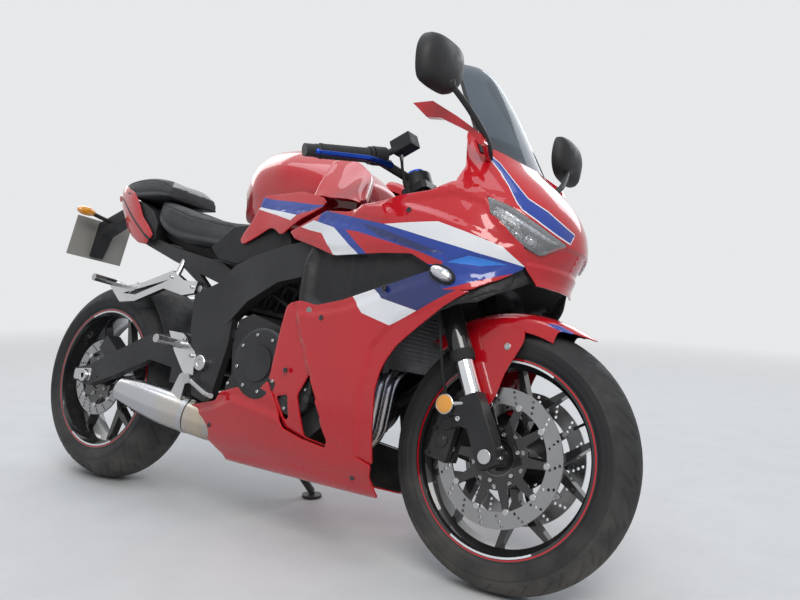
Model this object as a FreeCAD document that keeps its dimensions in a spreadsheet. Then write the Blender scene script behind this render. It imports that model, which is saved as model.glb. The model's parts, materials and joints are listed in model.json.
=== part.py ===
import FreeCAD, Part
import math
import os
import Sketcher
from FreeCAD import Placement, Rotation, Vector
from types import SimpleNamespace

# A sport motorcycle with a full fairing, leaning on its side stand.
# Every piece is shaped on the upright machine: X forward, Y to the left, Z up,
# with the origin on the ground under the rear axle. One placement then leans it over.

doc = FreeCAD.newDocument("SportMotorcycle")

# Columns: name of the size, value in mm (angles in degrees, masses none), what it measures.
SIZES = [
    ("wheelbase", 1450.0, "rear axle to front axle"),
    ("lean_angle", 12.175, "lean to the left on the side stand"),
    ("origin_forward", 717.7, "from the rear axle to the middle of the whole machine"),
    ("origin_left", -224.8, "from the wheel line to the middle of the whole machine"),
    ("rake_angle", 25.5, "steering axis back from upright"),
    ("fork_offset", 38.0, "front axle ahead of the steering axis"),
    ("fork_spread", 105.0, "fork leg from the middle plane"),
    ("front_tyre_radius", 300.0, "outer radius of the front tyre"),
    ("front_tyre_half", 58.0, "half width of the front tyre"),
    ("front_tyre_drop", 38.0, "crown to shoulder of the front tyre"),
    ("front_rim_half", 50.0, "half width of the front rim over its flanges"),
    ("rear_tyre_radius", 315.0, "outer radius of the rear tyre"),
    ("rear_tyre_half", 88.0, "half width of the rear tyre"),
    ("rear_tyre_drop", 57.0, "crown to shoulder of the rear tyre"),
    ("rear_rim_half", 76.0, "half width of the rear rim over its flanges"),
    ("flange_radius", 226.0, "outer radius of both rims"),
    ("bead_radius", 219.0, "radius at which a tyre sits on its rim"),
    ("well_radius", 205.0, "radius of the drop in the rim between its beads"),
    ("well_half", 20.0, "half width of that drop"),
    ("rim_wall", 6.0, "wall of the rim"),
    ("flange_wall", 4.0, "thickness of the rim's flange"),
    ("spoke_count", 5, "forked spokes in each wheel"),
    ("spoke_depth", 26.0, "spoke measured along the axle"),
    ("spoke_stem", 12.0, "half width of a spoke at the hub"),
    ("spoke_waist", 9.0, "half width of a spoke where it forks"),
    ("spoke_fork_radius", 96.0, "radius at which a spoke forks"),
    ("spoke_crotch_radius", 124.0, "radius of the notch between its two arms"),
    ("spoke_arm", 7.0, "half width of an arm at the rim"),
    ("hub_radius", 34.0, "radius of a hub between its flanges"),
    ("front_axle_radius", 10.0, "radius of the front axle"),
    ("rear_axle_radius", 12.0, "radius of the rear axle"),
    ("axle_hollow_radius", 8.0, "radius of the hole through the rear axle"),
    ("running_fit", 0.05, "radial clearance of a turning shaft"),
    ("front_hub_half", 82.0, "half length of the front hub with its seals"),
    ("front_disc_plane", 64.0, "front disc from the middle plane"),
    ("front_disc_radius", 155.0, "outer radius of a front disc"),
    ("front_disc_inner", 118.0, "inner radius of a front disc's braking ring"),
    ("disc_thickness", 4.5, "thickness of a brake disc"),
    ("carrier_radius", 66.0, "radius of the flange that a disc is bolted to"),
    ("carrier_arm_half", 8.0, "half width of a disc carrier's arm"),
    ("disc_hole_radius", 3.5, "radius of a hole drilled in a disc"),
    ("rear_disc_plane", 84.0, "rear disc from the middle plane, on the right"),
    ("rear_disc_radius", 120.0, "outer radius of the rear disc"),
    ("rear_disc_inner", 88.0, "inner radius of the rear disc's braking ring"),
    ("rear_hub_right", 92.0, "rear hub from the middle plane, on the right"),
    ("chain_line", 102.0, "chain from the middle plane, on the left"),
    ("sprocket_radius", 100.5, "outer radius of the rear sprocket"),
    ("sprocket_thickness", 6.5, "thickness of the rear sprocket"),
    ("sprocket_teeth", 42, "teeth of the rear sprocket"),
    ("chain_pitch_radius", 106.2, "chain's middle line round the rear sprocket"),
    ("chain_front_radius", 38.0, "chain's middle line round the front sprocket"),
    ("chain_height", 15.0, "height of a chain plate"),
    ("chain_width", 19.0, "width of the chain"),
    ("chain_front_x", 625.0, "front sprocket forward of the rear axle"),
    ("chain_front_z", 405.0, "front sprocket above the ground"),
    ("fork_outer_radius", 27.0, "radius of a fork's outer tube"),
    ("fork_inner_radius", 20.5, "radius of a fork's sliding tube"),
    ("fork_outer_low", 236.0, "lower end of the outer tube above the axle"),
    ("fork_outer_top", 712.0, "upper end of the outer tube above the axle"),
    ("fork_foot_top", 142.0, "top of the fork foot above the axle"),
    ("fork_foot_half", 20.0, "half width of a fork foot, across the machine"),
    ("lower_clamp_low", 440.0, "underside of the lower fork clamp"),
    ("lower_clamp_tall", 32.0, "height of the lower fork clamp"),
    ("upper_clamp_low", 655.0, "underside of the upper fork clamp"),
    ("upper_clamp_tall", 20.0, "height of the upper fork clamp"),
    ("clamp_wall", 9.0, "metal round a fork tube in its clamp"),
    ("stem_radius", 15.0, "radius of the steering stem"),
    ("head_tube_radius", 30.0, "radius of the frame's head tube"),
    ("head_clearance", 5.0, "head tube to the clamps above and below it"),
    ("panel_wall", 4.0, "thickness of a fairing panel"),
    ("liner_wall", 3.0, "thickness of the black lining behind a panel"),
    ("lamp_depth", 34.0, "depth of a headlamp behind its lens"),
    ("screen_wall", 4.0, "thickness of the windscreen"),
    ("pivot_forward", 545.0, "swingarm pivot forward of the rear axle"),
    ("pivot_height", 408.0, "swingarm pivot above the ground"),
    ("pivot_radius", 11.0, "radius of the swingarm pivot bolt"),
    ("grip_radius", 16.0, "radius of a handlebar grip"),
    ("bar_radius", 11.0, "radius of the handlebar tube"),
    ("header_radius", 17.5, "radius of an exhaust header pipe"),
    ("stand_pivot_radius", 6.0, "radius of the side stand's pivot bolt"),
    ("stand_lug_radius", 19.0, "radius of the side stand's eye"),
    ("stand_lug_long", 14.0, "length of that eye along its bolt"),
    ("stand_axis_back", 15.7, "pivot bolt turned back from straight across, so that the leg folds in"),
    ("stand_pivot_x", 560.0, "side stand pivot forward of the rear axle"),
    ("stand_pivot_y", 118.0, "side stand pivot left of the middle plane"),
    ("stand_pivot_z", 262.0, "side stand pivot above the ground"),
    ("stand_foot_x", 668.0, "side stand foot forward of the rear axle"),
    ("stand_foot_y", 262.0, "side stand foot left of the middle plane"),
    ("stand_leg_radius", 11.0, "radius of the side stand's leg"),
    ("stand_foot_radius", 30.0, "radius of the side stand's foot"),
    ("stand_foot_tall", 9.0, "thickness of the side stand's foot"),
    ("case_half", 140.0, "half width of the crankcase"),
    ("plate_width", 220.0, "width of the number plate"),
    ("plate_tall", 140.0, "height of the number plate"),
    ("plate_wall", 2.0, "thickness of the number plate"),
    ("cap_radius", 47.0, "radius of the fuel filler cap"),
]

sheet = doc.addObject("Spreadsheet::Sheet", "Sizes")
for row, (alias, value, meaning) in enumerate(SIZES, start=1):
    sheet.set(f"A{row}", alias.replace("_", " "))
    sheet.set(f"B{row}", str(value))
    sheet.set(f"C{row}", meaning)
    sheet.setAlias(f"B{row}", alias)
doc.recompute()


class Size:
    """A size from the sheet, or one worked out of several, with the expression that binds it."""

    def __init__(self, text, value):
        self.text = text
        self.value = value

    def join(self, sign, other, value):
        return Size(f"({self.text} {sign} {as_size(other).text})", value)

    def __add__(self, other):
        return self.join("+", other, self.value + as_size(other).value)

    def __sub__(self, other):
        return self.join("-", other, self.value - as_size(other).value)

    def __mul__(self, other):
        return self.join("*", other, self.value * as_size(other).value)

    def __truediv__(self, other):
        return self.join("/", other, self.value / as_size(other).value)

    def __neg__(self):
        return Size(f"(0 - {self.text})", -self.value)


def as_size(value):
    """A plain number as a size without a name."""
    return value if isinstance(value, Size) else Size(repr(float(value)), float(value))


mm = SimpleNamespace(**{alias: float(sheet.get(alias)) for alias, _, _ in SIZES})
size = SimpleNamespace(**{alias: Size(f"Sizes.{alias}", float(sheet.get(alias))) for alias, _, _ in SIZES})

# Where each group of pieces is shaped, as a placement in the leaning machine.
LEAN = math.radians(mm.lean_angle)
RAKE = math.radians(mm.rake_angle)


def crown_radius(half, drop):
    """Radius of the arc over a tyre's tread, from its half width and its drop to the shoulder."""
    return (half * half + drop * drop) / (2 * drop)


front_crown = crown_radius(mm.front_tyre_half, mm.front_tyre_drop)
rear_crown = crown_radius(mm.rear_tyre_half, mm.rear_tyre_drop)
# A leaning tyre stands on the side of its crown, so the machine settles by this much at each end.
front_rise = front_crown * (1 - math.cos(LEAN))
rear_rise = rear_crown * (1 - math.cos(LEAN))
nose_down = math.degrees(math.asin((rear_rise - front_rise) / mm.wheelbase))
shift = Placement(Vector(-mm.origin_forward, mm.origin_left, rear_rise), Rotation())
CHASSIS = shift.multiply(Placement(Vector(), Rotation(Vector(1, 0, 0), -mm.lean_angle))).multiply(
    Placement(Vector(), Rotation(Vector(0, 1, 0), nose_down)))
AXLE_FRONT = Vector(mm.wheelbase, 0, mm.front_tyre_radius)
AXLE_REAR = Vector(0, 0, mm.rear_tyre_radius)
AHEAD = Vector(math.cos(RAKE), 0, math.sin(RAKE))
UPWARD = Vector(-math.sin(RAKE), 0, math.cos(RAKE))
STEER_FOOT = AXLE_FRONT - AHEAD * mm.fork_offset
FRONT_WHEEL = CHASSIS.multiply(Placement(AXLE_FRONT, Rotation()))
REAR_WHEEL = CHASSIS.multiply(Placement(AXLE_REAR, Rotation()))
STEERING = CHASSIS.multiply(Placement(STEER_FOOT, Rotation(Vector(0, 1, 0), -mm.rake_angle)))

parts = []


def keep(obj, label, frame):
    """Name a finished sub-part and stand it in its frame."""
    obj.Label = label
    obj.Placement = frame
    parts.append(obj)
    return obj


def feature(label, shape, frame=CHASSIS):
    """A sub-part whose shape is worked out below from the sizes in the sheet."""
    obj = doc.addObject("Part::Feature", label)
    obj.Shape = shape
    return keep(obj, label, frame.multiply(shape.Placement))


# Sketches, pads and turned profiles inside one body

def new_body(label):
    return doc.addObject("PartDesign::Body", label)


def origin_item(body, role):
    return next(item for item in body.Origin.OriginFeatures if item.Role == role)


def sketch_on(body, role, name, offset=None):
    """A sketch on one of the body's own planes, moved along the plane's normal by a size."""
    sketch = body.newObject("Sketcher::SketchObject", name)
    sketch.AttachmentSupport = (origin_item(body, role), [""])
    sketch.MapMode = "FlatFace"
    if offset is not None:
        offset = as_size(offset)
        sketch.AttachmentOffset = Placement(Vector(0, 0, offset.value), Rotation())
        sketch.setExpression(".AttachmentOffset.Base.z", offset.text)
    return sketch


def bind_point(sketch, geometry, position, across, up):
    for kind, target in (("DistanceX", across), ("DistanceY", up)):
        index = sketch.addConstraint(Sketcher.Constraint(kind, geometry, position, target.value))
        sketch.setExpression(f"Constraints[{index}]", target.text)


def outline(sketch, corners):
    """A closed outline; a corner's third value is the radius of the arc that leaves it, bulging right."""
    points = [(as_size(corner[0]), as_size(corner[1])) for corner in corners]
    first = sketch.GeometryCount
    for index, corner in enumerate(corners):
        a, b = points[index], points[(index + 1) % len(points)]
        start, end = Vector(a[0].value, a[1].value, 0), Vector(b[0].value, b[1].value, 0)
        if len(corner) == 3:
            radius = as_size(corner[2]).value
            chord = end - start
            side = Vector(chord.y, -chord.x, 0).normalize()
            reach = radius - math.sqrt(radius * radius - chord.Length ** 2 / 4)
            middle = (start + end) * 0.5 + side * reach
            sketch.addGeometry(Part.Arc(start, middle, end))
        else:
            sketch.addGeometry(Part.LineSegment(start, end))
    for index, corner in enumerate(corners):
        geometry = first + index
        after = first + (index + 1) % len(points)
        sketch.addConstraint(Sketcher.Constraint("Coincident", geometry, 2, after, 1))
        bind_point(sketch, geometry, 1, *points[index])
        if len(corner) == 3:
            radius = as_size(corner[2])
            number = sketch.addConstraint(Sketcher.Constraint("Radius", geometry, radius.value))
            sketch.setExpression(f"Constraints[{number}]", radius.text)


def circle(sketch, across, up, radius):
    across, up, radius = as_size(across), as_size(up), as_size(radius)
    middle = Vector(across.value, up.value, 0)
    geometry = sketch.addGeometry(Part.Circle(middle, Vector(0, 0, 1), radius.value))
    number = sketch.addConstraint(Sketcher.Constraint("Radius", geometry, radius.value))
    sketch.setExpression(f"Constraints[{number}]", radius.text)
    bind_point(sketch, geometry, 3, across, up)


def pad(body, sketch, length, symmetric=False, backwards=False):
    solid = body.newObject("PartDesign::Pad", sketch.Name + "Pad")
    solid.Profile = sketch
    length = as_size(length)
    solid.Length = length.value
    solid.setExpression("Length", length.text)
    solid.SideType = "Symmetric" if symmetric else "One side"
    solid.Reversed = backwards
    body.Tip = solid
    return solid


def cut_through(body, sketch):
    """A hole right through the body on both sides of the sketch."""
    doc.recompute()
    before = body.Shape.Volume
    hole = body.newObject("PartDesign::Pocket", sketch.Name + "Cut")
    hole.Profile = sketch
    hole.Type = "ThroughAll"
    hole.SideType = "Symmetric"
    body.Tip = hole
    doc.recompute()
    if body.Shape.Volume >= before:
        raise RuntimeError(f"{sketch.Name} cuts nothing")
    return hole


def turned(body, sketch):
    """The sketch turned once round the body's Y axis."""
    solid = body.newObject("PartDesign::Revolution", sketch.Name + "Turned")
    solid.Profile = sketch
    solid.ReferenceAxis = (sketch, ["V_Axis"])
    solid.Angle = 360
    body.Tip = solid
    return solid


def round_y(body, original, count):
    """Copies of one feature round the body's Y axis."""
    ring = body.newObject("PartDesign::PolarPattern", original.Name + "Ring")
    ring.Originals = [original]
    ring.Axis = (origin_item(body, "Y_Axis"), [""])
    ring.Angle = 360
    count = as_size(count)
    ring.Occurrences = int(count.value)
    ring.setExpression("Occurrences", count.text)
    body.Tip = ring
    return ring


def both_sides(body, original, role="XZ_Plane"):
    """One feature and its mirror image across a plane of the body."""
    pair = body.newObject("PartDesign::Mirrored", original.Name + "Pair")
    pair.Originals = [original]
    pair.MirrorPlane = (origin_item(body, role), [""])
    body.Tip = pair
    return pair


# Shapes worked out point by point

def prism(corners, near, far):
    """A side outline of (x, z) corners carried across from y = near to y = far."""
    points = [Vector(x, near, z) for x, z in corners]
    return Part.Face(Part.makePolygon(points + points[:1])).extrude(Vector(0, far - near, 0))


def rod(start, end, radius):
    start, end = Vector(*start), Vector(*end)
    return Part.makeCylinder(radius, (end - start).Length, start, end - start)


def cone(start, end, first, last):
    start, end = Vector(*start), Vector(*end)
    return Part.makeCone(first, last, (end - start).Length, start, end - start)


def skin(sections):
    """A closed solid with straight-ruled faces through sections that have equally many corners."""
    wires = []
    for section in sections:
        points = [Vector(*point) for point in section]
        wires.append(Part.makePolygon(points + points[:1]))
    return Part.makeLoft(wires, True, True)


def mirrored(shape):
    return shape.mirror(Vector(0, 0, 0), Vector(0, 1, 0))


def pair(shape):
    return Part.makeCompound([shape, mirrored(shape)])


def join(shapes):
    """One solid from overlapping shapes, without the seams between flat faces."""
    return shapes[0].multiFuse(shapes[1:]).removeSplitter()


def bent_path(points, bend):
    """Straight runs joined by tangent arcs, each as large as the bend or as its two runs allow."""
    points = [Vector(*point) for point in points]
    edges = []
    start = points[0]
    for before, corner, after in zip(points, points[1:], points[2:]):
        inward = (before - corner).normalize()
        outward = (after - corner).normalize()
        half_turn = (math.pi - inward.getAngle(outward)) / 2
        shorter = min((before - corner).Length, (after - corner).Length)
        radius = min(bend, 0.45 * shorter / math.tan(half_turn))
        reach = radius * math.tan(half_turn)
        first, last = corner + inward * reach, corner + outward * reach
        bisector = (inward + outward).normalize()
        middle = corner + bisector * (radius / math.cos(half_turn) - radius)
        edges.append(Part.LineSegment(start, first).toShape())
        edges.append(Part.Arc(first, middle, last).toShape())
        start = last
    edges.append(Part.LineSegment(start, points[-1]).toShape())
    return Part.Wire(edges)


def pipe(points, radius, bend):
    """A round bar along straight runs and tangent arcs."""
    path = bent_path(points, bend)
    along = (Vector(*points[1]) - Vector(*points[0])).normalize()
    ring = Part.Wire(Part.makeCircle(radius, Vector(*points[0]), along))
    return path.makePipeShell([ring], True, False)


def oval_bar(points, radius):
    """A rod through the points with a ball at each corner."""
    rods = [rod(a, b, radius) for a, b in zip(points, points[1:])]
    balls = [Part.makeSphere(radius, Vector(*point)) for point in points[1:-1]]
    return join(rods + balls) if len(rods) > 1 else rods[0]


# Wheels

ARM_TURN = math.radians(180 / mm.spoke_count / 2)


def wheel_rim(label, frame, rim_half, hub_profile):
    """A rim with its drop, a hub, and forked spokes between them."""
    body = new_body(label)
    barrel = sketch_on(body, "XY_Plane", label + "_barrel")
    seat_low = size.bead_radius - size.rim_wall
    outline(barrel, [
        (size.flange_radius, rim_half),
        (size.bead_radius, rim_half - size.flange_wall),
        (size.bead_radius, rim_half - size.rim_wall * 3),
        (size.well_radius, size.well_half),
        (size.well_radius, -size.well_half),
        (size.bead_radius, -(rim_half - size.rim_wall * 3)),
        (size.bead_radius, -(rim_half - size.flange_wall)),
        (size.flange_radius, -rim_half),
        (seat_low, -rim_half),
        (seat_low, -(rim_half - size.rim_wall * 3)),
        (size.well_radius - size.rim_wall, -size.well_half),
        (size.well_radius - size.rim_wall, size.well_half),
        (seat_low, rim_half - size.rim_wall * 3),
        (seat_low, rim_half),
    ])
    turned(body, barrel)
    hub = sketch_on(body, "XY_Plane", label + "_hub")
    outline(hub, hub_profile)
    turned(body, hub)
    spoke = sketch_on(body, "XZ_Plane", label + "_spoke")
    arm_end = size.well_radius - size.rim_wall / 2
    end_out = arm_end * math.cos(ARM_TURN)
    end_up = arm_end * math.sin(ARM_TURN)
    outline(spoke, [
        (size.hub_radius - size.rim_wall, -size.spoke_stem),
        (size.spoke_fork_radius, -size.spoke_waist),
        (end_out, -(end_up + size.spoke_arm)),
        (end_out, -(end_up - size.spoke_arm)),
        (size.spoke_crotch_radius, 0),
        (end_out, end_up - size.spoke_arm),
        (end_out, end_up + size.spoke_arm),
        (size.spoke_fork_radius, size.spoke_waist),
        (size.hub_radius - size.rim_wall, size.spoke_stem),
    ])
    arms = pad(body, spoke, size.spoke_depth, symmetric=True)
    round_y(body, arms, size.spoke_count)
    return keep(body, label, frame)


def wheel_tyre(label, frame, radius, half, drop, rim_half):
    """A solid ring with a round crown, down to the bead seats of its rim."""
    body = new_body(label)
    section = sketch_on(body, "XY_Plane", label + "_section")
    crown = Size(f"(({half.text} * {half.text} + {drop.text} * {drop.text}) / (2 * {drop.text}))",
                 crown_radius(half.value, drop.value))
    seat = rim_half - size.flange_wall - 0.3
    outline(section, [
        (radius - drop, -half, crown),
        (radius - drop, half),
        (size.flange_radius + 1, rim_half),
        (size.flange_radius, seat),
        (size.bead_radius, seat),
        (size.bead_radius, -seat),
        (size.flange_radius, -seat),
        (size.flange_radius + 1, -rim_half),
    ])
    turned(body, section)
    return keep(body, label, frame)


def disc_body(label, plane, radius, inner, arm_count):
    """A drilled braking ring carried by arms from a bolted middle ring, on the plane y = plane."""
    body = new_body(label)
    ring = sketch_on(body, "XZ_Plane", label + "_ring", -plane)
    circle(ring, 0, 0, radius)
    circle(ring, 0, 0, inner)
    pad(body, ring, size.disc_thickness, symmetric=True)
    middle = sketch_on(body, "XZ_Plane", label + "_middle", -plane)
    circle(middle, 0, 0, size.carrier_radius)
    circle(middle, 0, 0, size.hub_radius + size.rim_wall)
    pad(body, middle, size.disc_thickness, symmetric=True)
    arm = sketch_on(body, "XZ_Plane", label + "_arm", -plane)
    outline(arm, [
        (size.carrier_radius - size.rim_wall, -size.carrier_arm_half),
        (inner + size.rim_wall, -size.carrier_arm_half),
        (inner + size.rim_wall, size.carrier_arm_half),
        (size.carrier_radius - size.rim_wall, size.carrier_arm_half),
    ])
    round_y(body, pad(body, arm, size.disc_thickness, symmetric=True), arm_count)
    band = radius - inner
    holes = sketch_on(body, "XZ_Plane", label + "_holes", -plane)
    # Columns: how far across the ring a hole lies, how far along it, both as shares of its width.
    for across, along in ((0.22, -0.16), (0.52, 0.0), (0.80, 0.16)):
        circle(holes, inner + band * across, band * along, size.disc_hole_radius)
    round_y(body, cut_through(body, holes), DISC_HOLE_ROWS)
    return body


DISC_HOLE_ROWS = 18

front_flange = size.front_disc_plane - size.disc_thickness / 2
bore_front = size.front_axle_radius + size.running_fit
seal_front = bore_front + size.rim_wall * 2
wheel_rim("front_rim", FRONT_WHEEL, size.front_rim_half, [
    (bore_front, -size.front_hub_half),
    (seal_front, -size.front_hub_half),
    (seal_front, -front_flange),
    (size.carrier_radius, -front_flange),
    (size.carrier_radius, -(front_flange - size.rim_wall)),
    (size.hub_radius, -size.spoke_depth),
    (size.hub_radius, size.spoke_depth),
    (size.carrier_radius, front_flange - size.rim_wall),
    (size.carrier_radius, front_flange),
    (seal_front, front_flange),
    (seal_front, size.front_hub_half),
    (bore_front, size.front_hub_half),
])
wheel_tyre("front_tyre", FRONT_WHEEL, size.front_tyre_radius, size.front_tyre_half,
           size.front_tyre_drop, size.front_rim_half)
front_disc = disc_body("front_disc_left", size.front_disc_plane, size.front_disc_radius,
                       size.front_disc_inner, 10)
front_disc_other = doc.addObject("Part::Mirroring", "front_disc_right")
front_disc_other.Source = front_disc
front_disc_other.Normal = Vector(0, 1, 0)
front_discs = doc.addObject("Part::Compound", "front_discs")
front_discs.Links = [front_disc, front_disc_other]
keep(front_discs, "front_discs", FRONT_WHEEL)

bore_rear = size.rear_axle_radius + size.running_fit
seal_rear = bore_rear + size.rim_wall * 2
rear_flange = size.rear_disc_plane - size.disc_thickness / 2
sprocket_seat = size.chain_line - size.sprocket_thickness / 2
wheel_rim("rear_rim", REAR_WHEEL, size.rear_rim_half, [
    (bore_rear, -size.rear_hub_right),
    (seal_rear, -size.rear_hub_right),
    (seal_rear, -rear_flange),
    (size.carrier_radius, -rear_flange),
    (size.carrier_radius, -(rear_flange - size.rim_wall)),
    (size.hub_radius, -size.spoke_depth),
    (size.hub_radius, size.spoke_depth),
    (size.carrier_radius, rear_flange - size.rim_wall),
    (size.carrier_radius, sprocket_seat),
    (seal_rear, sprocket_seat),
    (seal_rear, size.chain_line + size.rim_wall),
    (bore_rear, size.chain_line + size.rim_wall),
])
wheel_tyre("rear_tyre", REAR_WHEEL, size.rear_tyre_radius, size.rear_tyre_half,
           size.rear_tyre_drop, size.rear_rim_half)
keep(disc_body("rear_disc", -size.rear_disc_plane, size.rear_disc_radius, size.rear_disc_inner, 8),
     "rear_disc", REAR_WHEEL)

sprocket = new_body("rear_sprocket")
sprocket_ring = sketch_on(sprocket, "XZ_Plane", "sprocket_ring", -size.chain_line)
TOOTH_TALL = 7.0
circle(sprocket_ring, 0, 0, size.sprocket_radius - TOOTH_TALL)
circle(sprocket_ring, 0, 0, seal_rear + 0.2)
pad(sprocket, sprocket_ring, size.sprocket_thickness, symmetric=True)
tooth = sketch_on(sprocket, "XZ_Plane", "sprocket_tooth", -size.chain_line)
outline(tooth, [
    (size.sprocket_radius - TOOTH_TALL * 1.3, -TOOTH_TALL * 0.7),
    (size.sprocket_radius, -TOOTH_TALL * 0.3),
    (size.sprocket_radius, TOOTH_TALL * 0.3),
    (size.sprocket_radius - TOOTH_TALL * 1.3, TOOTH_TALL * 0.7),
])
round_y(sprocket, pad(sprocket, tooth, size.sprocket_thickness, symmetric=True), size.sprocket_teeth)
keep(sprocket, "rear_sprocket", REAR_WHEEL)


# Fork, clamps and handlebars, shaped along the steering axis

def fork_pair(label, radius, low, high):
    """A round tube in each fork leg from low to high above the axle."""
    body = new_body(label)
    ring = sketch_on(body, "XY_Plane", label + "_ring", low)
    circle(ring, size.fork_offset, -size.fork_spread, radius)
    both_sides(body, pad(body, ring, high - low))
    return keep(body, label, STEERING)


fork_pair("fork_tubes", size.fork_outer_radius, size.fork_outer_low, size.fork_outer_top)
fork_pair("fork_sliders", size.fork_inner_radius, size.fork_foot_top, size.fork_outer_low)

foot = new_body("fork_feet")
foot_side = sketch_on(foot, "XZ_Plane", "foot_side", size.fork_spread)
foot_back = size.fork_offset - size.fork_outer_radius
foot_front = size.fork_offset + size.fork_outer_radius
outline(foot_side, [
    (foot_back, -24),
    (foot_front, -24),
    (foot_front, 60),
    (foot_front - 6, size.fork_foot_top),
    (foot_back + 4, size.fork_foot_top),
    (foot_back - 22, 118),
    (foot_back - 22, 86),
    (foot_back, 70),
])
foot_pad = pad(foot, foot_side, size.fork_foot_half * 2, symmetric=True)
both_sides(foot, foot_pad)
foot_bore = sketch_on(foot, "XZ_Plane", "foot_bore")
circle(foot_bore, size.fork_offset, 0, size.front_axle_radius)
cut_through(foot, foot_bore)
keep(foot, "fork_feet", STEERING)

axle = new_body("front_axle")
axle_ring = sketch_on(axle, "XZ_Plane", "axle_ring")
circle(axle_ring, size.fork_offset, 0, size.front_axle_radius)
pad(axle, axle_ring, (size.fork_spread + size.fork_foot_half) * 2, symmetric=True)
axle_head = sketch_on(axle, "XZ_Plane", "axle_head", size.fork_spread + size.fork_foot_half)
circle(axle_head, size.fork_offset, 0, size.front_axle_radius * 1.6)
pad(axle, axle_head, size.rim_wall)
keep(axle, "front_axle", STEERING)

clamps = new_body("triple_clamps")
clamp_edge = size.fork_spread + size.fork_outer_radius + size.clamp_wall


def fork_clamp(name, low, tall, waist):
    plate = sketch_on(clamps, "XY_Plane", name, low)
    front = size.fork_offset + size.fork_outer_radius + size.clamp_wall
    back = size.fork_offset - size.fork_outer_radius - size.clamp_wall
    inner = size.fork_spread - size.fork_outer_radius - size.clamp_wall
    outline(plate, [
        (front, -clamp_edge + 8),
        (front, -inner),
        (waist, 0),
        (front, inner),
        (front, clamp_edge - 8),
        (front - 8, clamp_edge),
        (back + 8, clamp_edge),
        (back, clamp_edge - 8),
        (-size.head_tube_radius, size.head_tube_radius * 0.7),
        (-size.head_tube_radius, -size.head_tube_radius * 0.7),
        (back, -clamp_edge + 8),
        (back + 8, -clamp_edge),
        (front - 8, -clamp_edge),
    ])
    return pad(clamps, plate, tall)


fork_clamp("lower_clamp", size.lower_clamp_low, size.lower_clamp_tall, size.fork_offset * 1.2)
fork_clamp("upper_clamp", size.upper_clamp_low, size.upper_clamp_tall, size.fork_offset * 0.9)
stem = sketch_on(clamps, "XY_Plane", "steering_stem", size.lower_clamp_low)
circle(stem, 0, 0, size.stem_radius)
pad(clamps, stem, size.upper_clamp_low + size.upper_clamp_tall + 12 - size.lower_clamp_low)
clamp_bores = sketch_on(clamps, "XY_Plane", "clamp_bores")
circle(clamp_bores, size.fork_offset, -size.fork_spread, size.fork_outer_radius)
circle(clamp_bores, size.fork_offset, size.fork_spread, size.fork_outer_radius)
cut_through(clamps, clamp_bores)
keep(clamps, "triple_clamps", STEERING)


def to_steering(point):
    """A point of the upright machine, seen from the foot of the steering axis."""
    offset = Vector(*point) - STEER_FOOT
    return Vector(offset.dot(AHEAD), offset.y, offset.dot(UPWARD))


# Right-hand handlebar, in the upright machine: where it leaves its clamp, where the grip starts, its end.
GRIP_START = (1098.0, -235.0, 955.0)
GRIP_END = (1040.0, -368.0, 926.0)
grip_start, grip_end = to_steering(GRIP_START), to_steering(GRIP_END)
fork_right = Vector(mm.fork_offset, -mm.fork_spread, 0)
collar_low = mm.upper_clamp_low + mm.upper_clamp_tall
collar = Part.makeCylinder(mm.fork_outer_radius + mm.clamp_wall, mm.fork_outer_top - collar_low - 6,
                           fork_right + Vector(0, 0, collar_low))
collar_bore = Part.makeCylinder(mm.fork_outer_radius, 400, fork_right + Vector(0, 0, collar_low - 100))
bar_tube = oval_bar([fork_right + Vector(0, 0, collar_low + 14), grip_start, grip_end], mm.bar_radius)
handlebar = join([collar, bar_tube]).cut(collar_bore)
bar_way = (grip_end - grip_start).normalize()
weight_length = 26.0
weight = rod(grip_end, grip_end + bar_way * weight_length, mm.grip_radius * 0.94)
grip_tube = rod(grip_start, grip_end, mm.grip_radius)
grip_collar = rod(grip_start, grip_start + bar_way * 7, mm.grip_radius * 1.35)
handlebar = join([handlebar, weight, grip_tube, grip_collar])
feature("handlebars", pair(handlebar), STEERING)

# Lever: its bracket round the bar, and the blade ahead of the grip.
PERCH = (1096.0, -215.0, 952.0)
LEVER_PIVOT = (1136.0, -200.0, 940.0)
LEVER_MIDDLE = (1124.0, -270.0, 936.0)
LEVER_TIP = (1068.0, -385.0, 916.0)
pivot, blade_mid, blade_tip = (to_steering(point) for point in (LEVER_PIVOT, LEVER_MIDDLE, LEVER_TIP))
blade = join([cone(pivot, blade_mid, 8, 6.5), Part.makeSphere(6.5, blade_mid),
              cone(blade_mid, blade_tip, 6.5, 5), Part.makeSphere(7, blade_tip)])
feature("hand_levers", pair(blade), STEERING)
perch = to_steering(PERCH)
switch_start = grip_start - bar_way * 3
switch_box = rod(switch_start - bar_way * 34, switch_start, 23)
perch_arm = rod(perch, pivot - (pivot - perch).normalize() * 4, 11)
RESERVOIR = (1150.0, -178.0, 998.0)
reservoir = to_steering(RESERVOIR)
pot = Part.makeBox(56, 40, 34, reservoir - Vector(28, 20, 17))
pot_neck = rod(perch, reservoir, 8)
controls = join([switch_box, perch_arm, pot, pot_neck]).cut(bar_tube).cut(blade)
clutch_side = mirrored(join([switch_box, perch_arm]).cut(bar_tube).cut(blade))
feature("bar_controls", Part.makeCompound([controls, clutch_side]), STEERING)


# Front mudguard over the tyre, with a plate down each side to the fork feet

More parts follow.
